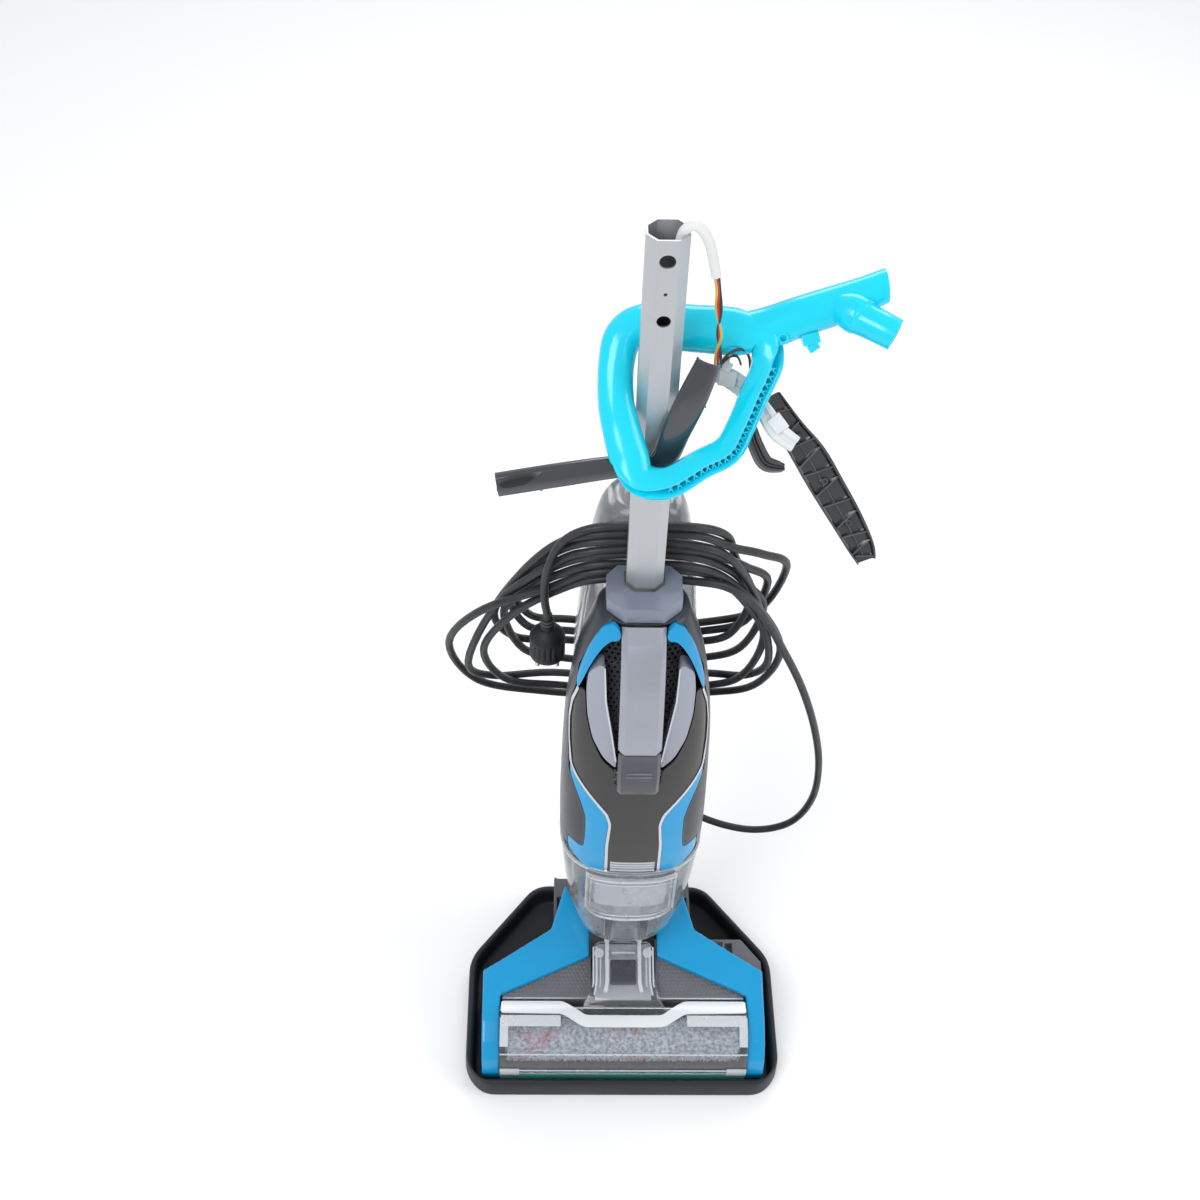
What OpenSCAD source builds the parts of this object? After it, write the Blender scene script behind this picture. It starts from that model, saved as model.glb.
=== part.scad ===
// Upright wet and dry floor washer, parked in its storage tray with the top handle taken apart.
// The machine faces -Y, +X is on its right as seen from the front, and the floor is z = 0.
// The origin is the middle of the tray's underside.

/* [Storage tray] */
// Gap between the foot's side and the tray's rim
tray_room = 9.5; // [7:0.5:40]
// Height of the tray's rim
tray_h = 26; // [20:1:34]
// Thickness of the tray's floor
tray_floor = 3; // [2:0.5:4]
// Thickness of the tray's rim
tray_wall = 9; // [6:0.5:12]

/* [Foot] */
// Width over the two side arms
foot_w = 305; // [286:1:370]
// Diameter over the brush roll's pile
brush_d = 50; // [40:1:52]
// Diameter of the brush roll's core
brush_core_d = 32; // [26:1:36]
// Diameter of the rear wheels
wheel_d = 44; // [34:1:48]
// Diameter of the wheel pins
axle_d = 8; // [6:1:10]
// Diameter of the pins that the neck tilts on
neck_pin_d = 12; // [9:1:16]
// Thickness of the clear window over the brush
window_t = 2.5; // [1.5:0.5:3.5]

/* [Upright body] */
// Greatest width of the body
body_w = 144; // [130:1:174]
// Wall of the rear shell
shell_wall = 3; // [2:0.5:3.5]
// Thickness of the front panels
panel_t = 2.4; // [1.6:0.2:3]
// Width of the carry handle
carry_w = 40; // [32:1:46]
// Diameter of the journal that the body swivels on
journal_d = 24; // [18:1:28]
// Diameter of the suction motor
motor_d = 50; // [40:1:58]

/* [Tube] */
// Width of the eight-sided tube
tube_w = 33; // [28:1:36]
// Depth of the eight-sided tube, front to back
tube_d = 28; // [24:1:28]
// Wall of the tube
tube_wall = 1.6; // [1.2:0.2:2.4]
// Height of the tube's open top above the floor
tube_top = 1006; // [960:1:1006]

/* [Clean water tank] */
// Greatest width of the clean water tank
tank_w = 120; // [100:1:124]
// Wall of the clean water tank
tank_wall = 2.4; // [1.6:0.2:3]

/* [Mains lead] */
// Diameter of the mains lead
lead_d = 8; // [7:0.5:8]
// Diameter of the plug's body
plug_d = 34; // [28:1:36]

/* [Fits] */
// Clearance around a pin, shaft or journal that turns
run_fit = 0.08; // [0.05:0.01:0.1]
// Gap between a moving piece and its neighbour
part_gap = 0.4; // [0.3:0.1:0.6]
// Seam between two fixed panels
seam = 0.25; // [0.2:0.05:0.4]

/* [Hidden] */

// Foot: places of the brush roll, its motor, the wheels and the neck's tilt axis, as [y, z]
brush_at = [-100, tray_floor + 7 + brush_d / 2];
motor_at = [-53, brush_at[1] + 3];
wheel_at = [60, tray_floor + 0.5 + wheel_d / 2];
neck_at = [58, 64];
swivel_y = 40;
journal_z0 = 104;
journal_h = 22;
foot_front = -138;
cheek_w = 19;
cheek_x = foot_w / 2 - cheek_w;
brush_half = cheek_x - 5.5;
pulley_x = cheek_x - part_gap;
pulley_w = 4;
brush_pulley_d = 24;
motor_pulley_d = 16;
brush_journal_d = 12;
window_r = 41;
duct_w = 68;
ear_x = 40;
ear_w = 14;
tower_x = 76;

// Upright body: each row is [height, half width, front, back] for a body 144 mm wide
drawn_w = 144;
body_rows = [[112, 30, -18, 40], [125, 40, -32, 48], [141, 49, -42, 54], [168, 56, -49, 58],
    [195, 61, -54, 60], [231, 66, -58, 62], [284, 70.5, -61, 64], [340, 72, -61, 64],
    [390, 71.5, -57, 64], [450, 70, -50, 63], [493, 67.5, -41, 62], [542, 61, -28, 59],
    [569, 55, -20, 57], [600, 45, -10, 54], [612, 40, -6, 52.5]];
tank_rows = [[352, 0.72, 76, 126], [366, 0.92, 69, 132], [400, 1, 67, 133], [470, 1, 67, 133],
    [530, 0.94, 67, 133], [585, 0.86, 67, 132], [625, 0.77, 67, 131], [664, 0.62, 68, 127],
    [678, 0.46, 74, 121]];
body_bottom = body_rows[0][0];
body_top = body_rows[len(body_rows) - 1][0];
body_split = 8;
tank_clear_top = 300;
tank_top = 430;
release_z = 437;
release_h = 52;

// Tube and collar
tube_y = 35;
tube_bottom = 562;
tube_corner = 8;
collar_h = 17;

// Loose handle: its own plane leans back 38 degrees from upright and passes through this point
lean = 38;
loop_at = [0, -8, 795.5];

// Mains lead: free stretch from the gland to the coil, then the coil's turns, then the plug's end
coil_y = 62;
coil_z = 606;
coil_pitch = lead_d + 0.6;
gland_y = 62.9;
gland_len = 24;
lead_route = [[0, gland_y + gland_len - 2, 235], [1, 108, 232], [8, 129, 215], [26, 136, 187], [56, 132, 157],
    [98, 121, 133],
    [148, 112, 127], [188, 106, 150], [207, 103, 200], [206, 99, 268], [192, 95, 340],
    [170, 91, 412], [142, 85, 482], [112, 77, 550], [80, 68, 592], [46, coil_y, 604], [0, coil_y, 606]];
end_route = [[0, coil_y, 666], [-46, coil_y, 664], [-74, 64, 643], [-87, 62, 608], [-89, 61, 574],
    [-86, 62, 548]];
// Each turn is [left reach, left height, lowest height, right reach, right height]
turns = [[150, 452, 335, 132, 470], [183, 462, 322, 144, 452], [130, 510, 378, 124, 512],
    [122, 524, 420, 124, 548], [165, 428, 350, 134, 436], [120, 530, 432, 138, 570],
    [134, 500, 404, 112, 528]];
plug_at = [-86, 62, 512];
plug_h = 36;

// ---------------------------------------------------------------- shape functions

function unit(v) = v / norm(v);

function mix(a, b, f) = a + (b - a) * f;

// One flattened oval section at height z, squarer than an ellipse
function section(half, front, back, z, sides = 24, squareness = 2.6) =
    [for (i = [0:sides - 1]) let (a = 360 * i / sides)
        [half * sign(cos(a)) * pow(abs(cos(a)), 2 / squareness),
         mix(front, back, 0.5) + (back - front) / 2 * sign(sin(a)) * pow(abs(sin(a)), 2 / squareness),
         z]];

// A smooth curve through a list of points, in steps of 1/n of a gap
function bend(a, b, c, d, f) = 0.5 * (2 * b + (c - a) * f + (2 * a - 5 * b + 4 * c - d) * f * f
    + (3 * b - a - 3 * c + d) * f * f * f);
function smooth(p, n) = concat([for (i = [0:len(p) - 2]) for (k = [0:n - 1])
    bend(p[max(i - 1, 0)], p[i], p[i + 1], p[min(i + 2, len(p) - 1)], k / n)], [p[len(p) - 1]]);
function smooth_ring(p, n) = [for (i = [0:len(p) - 1]) for (k = [0:n - 1])
    bend(p[(i + len(p) - 1) % len(p)], p[i], p[(i + 1) % len(p)], p[(i + 2) % len(p)], k / n)];

function heading(p, i) = unit(p[min(i + 1, len(p) - 1)] - p[max(i - 1, 0)]);
function ring_heading(p, i) = unit(p[(i + 1) % len(p)] - p[(i + len(p) - 1) % len(p)]);
function square_to(v, t) = unit(v - (v * t) * t);

// Normals carried along a path without twisting
function normals(p, i = 0, last = [0, 0, 1]) = i == len(p) ? [] :
    let (n = square_to(last, heading(p, i))) concat([n], normals(p, i + 1, n));

// A solid skinned over rings that all have the same number of points
module skin(rings, closed = false) {
    n = len(rings[0]);
    m = len(rings);
    steps = closed ? m : m - 1;
    sides = [for (k = [0:steps - 1]) for (i = [0:n - 1]) let (a = k * n + i, b = ((k + 1) % m) * n + i,
        c = ((k + 1) % m) * n + (i + 1) % n, d = k * n + (i + 1) % n) each [[a, b, c], [a, c, d]]];
    caps = closed ? [] : [[for (i = [0:n - 1]) i], [for (i = [n - 1:-1:0]) (m - 1) * n + i]];
    polyhedron([for (r = rings) each r], concat(sides, caps));
}

// A round tube along a path
module round_sweep(path, d, sides = 8) {
    ns = normals(path);
    skin([for (i = [0:len(path) - 1]) let (t = heading(path, i), u = cross(t, ns[i]))
        [for (k = [0:sides - 1]) path[i] + d / 2 * (ns[i] * cos(360 * k / sides) + u * sin(360 * k / sides))]]);
}

// An oval bar along rows of [point, half width, half thickness]; thickness is measured along facing
module oval_sweep(rows, facing, closed = false, sides = 12) {
    pts = [for (r = rows) r[0]];
    skin([for (i = [0:len(rows) - 1])
        let (t = closed ? ring_heading(pts, i) : heading(pts, i), f = square_to(facing, t), w = cross(t, f))
        [for (k = [0:sides - 1]) pts[i] + rows[i][2] * f * cos(360 * k / sides)
            + rows[i][1] * w * sin(360 * k / sides)]], closed);
}

// Rows of [x, up, half width, half thickness, back] in the loose handle's plane, smoothed
function place(x, up, back = 0) =
    loop_at + [x, up * sin(lean) + back * cos(lean), up * cos(lean) - back * sin(lean)];
function plane_rows(rows, n, closed = false) = [for (r = (closed ? smooth_ring(rows, n) : smooth(rows, n)))
    [place(r[0], r[1], r[4]), r[2], r[3]]];
plane_facing = [0, -cos(lean), sin(lean)];

// The body's outer form moved inwards by inset
module body_form(inset = 0) {
    k = body_w / drawn_w;
    last = len(body_rows) - 1;
    skin([for (i = [0:last]) let (r = body_rows[i], z = r[0] + (i == 0 ? inset : i == last ? -inset : 0))
        section(r[1] * k - inset, r[2] + inset, r[3] - inset, z)]);
}

// A prism through the front of the body from an outline drawn as [x, z] on its right half
module front_prism(half) {
    k = body_w / drawn_w;
    right = [for (p = half) [p[0] * k, p[1]]];
    left = [for (i = [len(half) - 1:-1:0]) [-half[i][0] * k, half[i][1]]];
    translate([0, body_split, 0]) rotate([90, 0, 0]) linear_extrude(height = 90) polygon(concat(right, left));
}
module side_prism(outline, from = body_split) {
    k = body_w / drawn_w;
    for (side = [-1, 1]) translate([0, from, 0]) rotate([90, 0, 0]) linear_extrude(height = 90)
        polygon([for (p = outline) [side * p[0] * k, p[1]]]);
}
module panel(outer, inner) {
    difference() {
        body_form(outer);
        body_form(inner);
    }
}

// A profile drawn as [y, z] and drawn out along X from x0 to x1
module along_x(x0, x1) {
    translate([x0, 0, 0]) rotate([90, 0, 90]) linear_extrude(height = x1 - x0) children();
}
module rod_x(x0, x1, at, d) {
    translate([x0, at[0], at[1]]) rotate([0, 90, 0]) cylinder(d = d, h = x1 - x0, $fn = 64);
}
module both_sides() {
    children();
    mirror([1, 0, 0]) children();
}

// ---------------------------------------------------------------- storage tray

tray_edge = foot_w / 2 + tray_room + tray_wall;
tray_outer = [[-tray_edge + 19, -150], [-tray_edge, -126], [-tray_edge, 5], [-tray_edge + 73, 102],
    [tray_edge - 73, 102], [tray_edge, 5], [tray_edge, -126], [tray_edge - 19, -150]];
tray_in = tray_edge - tray_wall;
tray_inner = [[-tray_in + 8, -150 + tray_wall], [-tray_in, -131], [-tray_in, 2], [-tray_in + 68, 102 - tray_wall],
    [tray_in - 68, 102 - tray_wall], [tray_in, 2], [tray_in, -131], [tray_in - 8, -150 + tray_wall]];

module tray() color("#26282c") {
    linear_extrude(height = tray_floor) polygon(tray_outer);
    difference() {
        linear_extrude(height = tray_h) polygon(tray_outer);
        translate([0, 0, -1]) linear_extrude(height = tray_h + 2) polygon(tray_inner);
    }
}

// Removable grey rack that a washed brush dries on, in the tray's rear corner
rack_edge = tray_in - 2;
rack_back = 30;
rack_plan = [[86, 9], [86, rack_back], [rack_edge - (rack_back - 2) * 68 / 91, rack_back], [rack_edge, 1],
    [rack_edge, -38], [foot_w / 2 + 2.5, -38], [foot_w / 2 + 2.5, -29]];
module brush_rack() color("#5c5f66") {
    difference() {
        translate([0, 0, tray_floor]) linear_extrude(height = tray_h - 4) polygon(rack_plan);
        for (x = [94:13:120]) translate([x, 10, tray_h - 9]) cube([8, 15, 20]);
    }
}

// ---------------------------------------------------------------- foot

base_z = tray_floor + 5;
base_t = 4;
wall_y = -72;
tower_top = 88;

module foot_base() color("#50535a") {
    translate([0, 0, base_z]) linear_extrude(height = base_t)
        polygon([[-cheek_x + 1, wall_y], [cheek_x - 1, wall_y], [cheek_x - 1, -36], [tower_x, -6], [tower_x, 8],
            [ear_x + ear_w, 30], [ear_x + ear_w, 78], [-ear_x - ear_w, 78], [-ear_x - ear_w, 30],
            [-tower_x, 8], [-tower_x, -6], [-cheek_x + 1, -36]]);
    translate([-brush_half + 2, wall_y, base_z]) cube([2 * brush_half - 4, 2, 56]);
    both_sides() {
        difference() {
            along_x(ear_x, ear_x + ear_w)
                polygon([[40, base_z + 1], [78, base_z + 1], [78, 78], [70, tower_top], [46, tower_top], [40, 80]]);
            rod_x(ear_x - 1, ear_x + ear_w + 1, neck_at, neck_pin_d + 2 * run_fit);
            rod_x(ear_x - 1, ear_x + ear_w + 1, wheel_at, axle_d);
        }
        difference() {
            along_x(tower_x - 3, tower_x) polygon([[-6, base_z + 1], [78, base_z + 1], [78, 78],
                [70, tower_top], [8, tower_top], [-6, 80]]);
            rod_x(tower_x - 4, tower_x + 1, wheel_at, axle_d);
        }
        translate([ear_x + ear_w - 0.01, 46, tower_top - 3]) cube([tower_x - 2 - ear_x - ear_w, 24, 3]);
        translate([0, 0, base_z + 1]) linear_extrude(height = 58) polygon([[cheek_x - 1, -36],
            [tower_x, -3], [tower_x - 2, -5], [cheek_x - 3, -37.5]]);
    }
}

// Height of the arm's upper face at depth y
arm_top = [[44, 120], [-4, 101], [-30, 91], [-46, 86], [-71, 79]];
arm_t = 7;
cover_t = 4;

module band(top, thickness) {
    under = [for (i = [len(top) - 1:-1:0]) [top[i][0], top[i][1] - thickness]];
    polygon(concat(top, under));
}
arm_out = foot_w / 2;
module arm_plan() {
    polygon([[64, 42], [37, -4], [duct_w / 2 + 3, -30], [cheek_x, -71], [arm_out, -71], [arm_out, -46], [79, -3]]);
}
module arm() {
    intersection() {
        linear_extrude(height = 140) arm_plan();
        along_x(20, arm_out + 5) band(arm_top, arm_t);
    }
    difference() {
        along_x(cheek_x, arm_out) polygon([[foot_front + 4, base_z], [foot_front, 26], [foot_front + 5, 46],
            [-120, 62], [-100, 73], [-70.5, 79], [-46, 86], [-40, 76], [-34, base_z]]);
        rod_x(cheek_x - 1, cheek_x + 9, brush_at, brush_journal_d + 2 * run_fit);
    }
}
module arm_right() color("#14a0dc") arm();
module arm_left() color("#14a0dc") mirror([1, 0, 0]) arm();

// Dimpled dark cover under the arms, with the slot that the clear duct drops into
module foot_cover() color("#6a6d74") {
    difference() {
        intersection() {
            linear_extrude(height = 140) polygon(concat(
                [[62, 38], [38, -6], [38, -10], [-38, -10], [-38, -6], [-62, 38], [-77, -5]],
                [[-cheek_x + 2, -49], [-cheek_x + 2, -73], [cheek_x - 2, -73], [cheek_x - 2, -49], [77, -5]]));
            along_x(-foot_w, foot_w) band([for (p = concat(arm_top, [[-75, 78]])) [p[0], p[1] - arm_t - seam]], cover_t);
        }
        translate([-duct_w / 2 - 1, -80, 50]) cube([duct_w + 2, 110, 80]);
    }
}

// Green sealing strip along the foot's lower front edge
module front_seal() color("#3fa39a") {
    along_x(-cheek_x + seam, cheek_x - seam)
        polygon([[foot_front + 3, base_z], [foot_front + 1, 23], [foot_front + 5, 23], [foot_front + 8, base_z]]);
}

module spray_bar() color("#3a3c40") {
    rod_x(-brush_half + 6, brush_half - 6, [-77, 62], 5);
}

module squeegee() color("#1c1d1f") {
    translate([-brush_half + 4, wall_y - 3.6 - seam, tray_floor + 1]) cube([2 * brush_half - 8, 3.6, 12]);
}

motor_x = -94;
module brush_motor() color("#8a8d92") {
    difference() {
        rod_x(motor_x, motor_x + 60, motor_at, 30);
        rod_x(motor_x - 1, motor_x + 30, motor_at, 6 + 2 * run_fit);
    }
}

module motor_pulley() color("#c8cacc") {
    rod_x(-pulley_x, -pulley_x + pulley_w, motor_at, motor_pulley_d);
    rod_x(-pulley_x + pulley_w, motor_x + 26, motor_at, 6);
}

// Flat toothed belt from the motor pulley to the brush roll
module belt_outline(extra) {
    hull() {
        translate(brush_at) circle(d = brush_pulley_d + extra, $fn = 32);
        translate(motor_at) circle(d = motor_pulley_d + extra, $fn = 32);
    }
}
module drive_belt() color("#202124") {
    along_x(-pulley_x + 0.2, -pulley_x + pulley_w - 0.2) difference() {
        belt_outline(2 * part_gap + 3);
        belt_outline(2 * part_gap);
    }
}

module wheel_pins() color("#b8babd") {
    both_sides() rod_x(ear_x + 3, tower_x - 0.5, wheel_at, axle_d - 0.02);
}

module wheel() {
    difference() {
        union() {
            rod_x(57, 71, wheel_at, wheel_d - 6);
            rod_x(58.5, 69.5, wheel_at, wheel_d);
        }
        rod_x(56, 72, wheel_at, axle_d + 2 * run_fit);
    }
}
module wheel_right() color("#2b2d30") wheel();
module wheel_left() color("#2b2d30") mirror([1, 0, 0]) wheel();

// Short flexible hose from the duct to the neck
module suction_hose() color("#45474c") {
    round_sweep(smooth([[0, -12, 80], [0, 2, 76], [0, 16, 68], [0, 30, 62]], 4), 22, 12);
}

// ---------------------------------------------------------------- brush roll

// Moulded core with its journals, and the belt's pulley at the left end
module brush_core() color("#3fa39a") {
    rod_x(-brush_half, brush_half, brush_at, brush_core_d);
    rod_x(-cheek_x - 6, cheek_x + 6, brush_at, brush_journal_d);
    rod_x(-pulley_x, -pulley_x + pulley_w, brush_at, brush_pulley_d);
}

module brush_pile() color("#d5dbe4") {
    difference() {
        rod_x(-brush_half + 2, brush_half - 2, brush_at, brush_d);
        rod_x(-brush_half, brush_half, brush_at, brush_core_d);
    }
}

// ---------------------------------------------------------------- clear window over the brush

window_half = cheek_x - part_gap;
window_at = [-95, 35];
module window_wedge() {
    polygon([[-95, 35], [-70, 90], [-100, 130], [-190, 100], [-190, 10], [-137.8, 23.5]]);
}
module nozzle_window() color([0.85, 0.88, 0.9, 0.5]) {
    difference() {
        intersection() {
            difference() {
                rod_x(-window_half, window_half, window_at, 2 * (window_r + window_t));
                rod_x(-window_half - 1, window_half + 1, window_at, 2 * window_r);
            }
            along_x(-window_half, window_half) window_wedge();
        }
        translate([-duct_w / 2 + 4, -85, 60]) cube([duct_w - 8, 20, 30]);
    }
    difference() {
        along_x(-duct_w / 2, duct_w / 2) polygon([[-83, 76], [-77, 81], [-18, 98], [-18, 86], [-70, 70]]);
        along_x(-duct_w / 2 + 3, duct_w / 2 - 3) polygon([[-90, 70.5], [-76, 78.5], [-10, 97.5], [-10, 80], [-70, 60]]);
        translate([-14 - part_gap, -62 - part_gap, 60]) cube([28 + 2 * part_gap, 24 + 2 * part_gap, 60]);
    }
}

// White strip along the window's upper edge, with a dip in the middle
module window_band() color("#e6e8ea") {
    intersection() {
        difference() {
            rod_x(-window_half + 1, window_half - 1, window_at, 2 * (window_r + window_t + 1.4));
            rod_x(-window_half, window_half, window_at, 2 * (window_r + window_t));
        }
        linear_extrude(height = 120) polygon([[-window_half, -84], [-60, -84], [-40, -96], [40, -96], [60, -84],
            [window_half, -84], [window_half, -96], [66, -96], [44, -109], [-44, -109], [-66, -96],
            [-window_half, -96]]);
    }
}

module window_latch() color("#3c3f44") {
    along_x(-14, 14) polygon([[-62, 82], [-62, 88.4], [-38, 95.2], [-38, 88.8]]);
}

// ---------------------------------------------------------------- neck

module neck_yoke() color("#3c3e43") {
    rod_x(-ear_x + part_gap, ear_x - part_gap, neck_at, 30);
    rod_x(-ear_x - ear_w + 2, ear_x + ear_w - 2, neck_at, neck_pin_d);
    along_x(-14, 14) polygon([[46, 70], [70, 70], [56, 96], [56, journal_z0], [24, journal_z0], [24, 99]]);
    translate([0, swivel_y, journal_z0]) cylinder(d = journal_d, h = journal_h, $fn = 64);
}

module neck_socket() color("#4a4d53") {
    difference() {
        translate([0, swivel_y, journal_z0 + part_gap]) cylinder(d = journal_d + 9, h = journal_h + 6, $fn = 64);
        translate([0, swivel_y, journal_z0 - 1]) cylinder(d = journal_d + 2 * run_fit, h = journal_h + 1.5, $fn = 64);
    }
}

// ---------------------------------------------------------------- upright body

// Opening in the front of the rear shell: tank bay below, panels and vents above
front_opening = [[0, 90], [95, 90], [95, tank_clear_top + 2], [64.2, 316], [64.2, 334.5], [49.4, 333], [48, 355],
    [48, 381], [53.5, 400], [59.5, 416], [64.5, 430], [66, 472], [66, 493], [63.4, 513], [59, 533], [57, 553],
    [49.6, 575], [37, 605], [28, 611], [0, 611]];

module rear_shell() color("#464a52") {
    difference() {
        body_form();
        body_form(shell_wall);
        translate([0, 0.6, 0]) front_prism(front_opening);
        translate([0, swivel_y, body_bottom - 5]) cylinder(d = journal_d + 9.6, h = 28, $fn = 48);
        tube_form(seam, body_top - 20, body_top + 5);
    }
}

// Wall behind the dirty water tank, with the shelf that the motor stands on
shelf_z = tank_top + 10;
module bulkhead() color("#33363b") {
    intersection() {
        body_form(shell_wall + seam);
        union() {
            translate([-80, body_split + 1, 142]) cube([160, 3, shelf_z - 142]);
            translate([-46, -36, shelf_z]) cube([92, 48, 3]);
        }
    }
}

grille_inset = 17;
flank_outline = [[39, 566], [48.2, 555], [50, 536], [48.7, 511.5], [43.4, 487.5], [33, 468], [21, 457], [21, 466],
    [25.4, 493.6], [32.4, 532], [34, 567]];
module vent_flanks() color("#a0a6b2") {
    intersection() {
        panel(0.4, grille_inset - seam);
        side_prism(flank_outline);
    }
}

// Sunken mesh between the flanks, behind the carry handle
grille_outline = [[0, 444], [20, 444], [20.6, 466], [25, 493.6], [32, 532], [33.6, 569], [40, 572], [30, 596],
    [0, 600]];
// Rib down the middle of the mesh, drawn as [y, z] before it is sunk with the mesh
grille_spine = [[-47.5, 462], [-42.5, 493], [-29.5, 542], [-21.5, 569], [-17.5, 569], [-25.5, 542], [-38.5, 493],
    [-43.5, 462]];
module vent_grille() color("#2d2f34") {
    difference() {
        intersection() {
            panel(grille_inset, grille_inset + 2);
            front_prism(grille_outline);
        }
        for (z = [484:9:556]) translate([-30, -60, z]) cube([60, 80, 3.2]);
    }
    along_x(-3, 3) polygon([for (p = grille_spine) [p[0] + grille_inset, p[1]]]);
}

trim_outline = [[22, 606.5], [28, 610.2], [36.4, 604], [49, 574.5], [56.4, 552], [58.4, 534], [56.2, 534],
    [54, 543], [48.8, 559], [40.8, 579], [32, 597], [22, 600]];
module shoulder_trims() color("#14a0dc") {
    intersection() {
        panel(0, panel_t + 1);
        side_prism(trim_outline);
    }
}

// Grip bar that the machine is lifted by; its lower end carries the tank release
carry_side = [[-7, 611], [-24, 590], [-38, 562], [-48, 530], [-57, 500], [-57, release_z + release_h + 2],
    [-43, release_z + release_h + 2], [-43, 500], [-36, 530], [-26, 560], [-13, 586], [3, 602]];
module carry_handle() color("#9aa0ac") {
    along_x(-carry_w / 2, carry_w / 2) polygon(carry_side);
}

module tank_release() color("#4a4e56") {
    along_x(-carry_w / 2 + 0.5, carry_w / 2 - 0.5) polygon([[-64, release_z + 3], [-61, release_z],
        [-54, release_z], [-52, release_z + release_h], [-57, release_z + release_h]]);
}

// Eight-sided tube section, grown by extra all round
module tube_outline(extra = 0) {
    w = tube_w / 2 + extra;
    d = tube_d / 2 + extra;
    c = tube_corner + extra * 0.41;
    translate([0, tube_y]) polygon([[w, -d + c], [w, d - c], [w - c, d], [-w + c, d], [-w, d - c], [-w, -d + c],
        [-w + c, -d], [w - c, -d]]);
}
module tube_form(extra, z0, z1) {
    translate([0, 0, z0]) linear_extrude(height = z1 - z0) tube_outline(extra);
}

module tube_collar() color("#7d8494") {
    difference() {
        translate([0, 0, body_top + seam]) linear_extrude(height = collar_h)
            polygon([[-18, -3], [18, -3], [34, 12], [34, 40], [24, 52], [-24, 52], [-34, 40], [-34, 12]]);
        tube_form(seam, body_top - 1, body_top + collar_h + 2);
        translate([-50, -3, body_top + collar_h + 1]) rotate([28, 0, 0]) translate([0, -40, 0]) cube([100, 44, 40]);
    }
}

// Three holes in the tube's front wall take the handle's screws and catch
tube_holes = [[tube_top - 19, 12.5], [tube_top - 49, 3], [tube_top - 74.5, 11]];
hook_pin_d = 6;
hook_z = 724;
module tube() color("#b9bcc2") {
    difference() {
        tube_form(0, tube_bottom, tube_top);
        tube_form(-tube_wall, tube_bottom - 1, tube_top + 1);
        for (h = tube_holes) translate([0, tube_y, h[0]]) rotate([90, 0, 0]) cylinder(d = h[1], h = 20, $fn = 48);
    }
    translate([0, tube_y + tube_d / 2 - tube_wall / 2, hook_z]) rotate([-90, 0, 0])
        cylinder(d = hook_pin_d, h = 9, $fn = 48);
}

// Turning hook that lets the wound lead drop off
module cord_hook() color("#3a3c41") {
    back = tube_y + tube_d / 2 + part_gap;
    difference() {
        union() {
            translate([0, back, hook_z]) rotate([-90, 0, 0]) cylinder(d = 18, h = 6, $fn = 48);
            translate([-6, back, hook_z]) cube([12, 6, 38]);
            translate([-6, back, hook_z + 34]) cube([12, 15, 4]);
        }
        translate([0, back - 1, hook_z]) rotate([-90, 0, 0]) cylinder(d = hook_pin_d + 2 * run_fit, h = 9, $fn = 48);
    }
}

module lower_hook() color("#3a3c41") {
    back = 64.4;
    translate([-12, back, 262]) cube([24, 3, 40]);
    translate([-8, back + 2.99, 262]) cube([16, 26, 5]);
    translate([-8, back + 24, 266.99]) cube([16, 5, 14]);
}

module tank_seat() color("#3a3c41") {
    back = 64.4;
    translate([-34, back, 312]) cube([68, 3, 22]);
    difference() {
        translate([-34, back + 2.99, 326]) cube([68, 56, 5]);
        translate([0, 100, 320]) cylinder(d = 10, h = 20, $fn = 48);
    }
}

motor_y = 18;
module suction_motor() color("#9a9da3") {
    translate([0, motor_y, shelf_z + 28]) cylinder(d = motor_d, h = 62, $fn = 64);
    translate([0, motor_y, shelf_z + 20]) cylinder(d = 7.8, h = 9, $fn = 48);
}
module impeller() color("#c9ccd0") {
    difference() {
        union() {
            translate([0, motor_y, shelf_z + 6]) cylinder(d = motor_d - 4, h = 2, $fn = 64);
            translate([0, motor_y, shelf_z + 7.9]) cylinder(d = 16, h = 17, $fn = 48);
            for (a = [0:40:320]) translate([0, motor_y, shelf_z + 7.9]) rotate(a) translate([7, -0.7, 0])
                cube([motor_d / 2 - 10, 1.4, 10]);
        }
        translate([0, motor_y, shelf_z + 14]) cylinder(d = 8, h = 20, $fn = 48);
    }
}

module pump() color("#c9ccd0") {
    translate([-26, 34, 236]) cylinder(d = 26, h = 44, $fn = 48);
    translate([-26, 34, 279.9]) cylinder(d = 12, h = 10, $fn = 48);
}

module control_board() color("#2f6b46") {
    translate([8, 24, 250]) cube([40, 1.6, 80]);
    translate([14, 25.5, 262]) cube([12, 14, 18]);
    translate([32, 25.5, 300]) cube([9, 10, 9]);
}

// ---------------------------------------------------------------- dirty water tank

module recovery_form(inset) {
    intersection() {
        body_form(0.3 + inset);
        translate([-100, -100, 90]) cube([200, 100 + body_split - inset, tank_clear_top - 90 - inset]);
    }
    intersection() {
        body_form(panel_t + seam + 0.3 + inset);
        translate([-44 + inset, -100, 200]) cube([88 - 2 * inset, 100 + body_split - inset, tank_top - 200 - inset]);
    }
}
module recovery_tank() color([0.8, 0.84, 0.88, 0.5]) {
    difference() {
        recovery_form(0);
        recovery_form(2.5);
        translate([0, -16, tank_top - 5]) cylinder(d = 30, h = 10, $fn = 48);
    }
}

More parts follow.
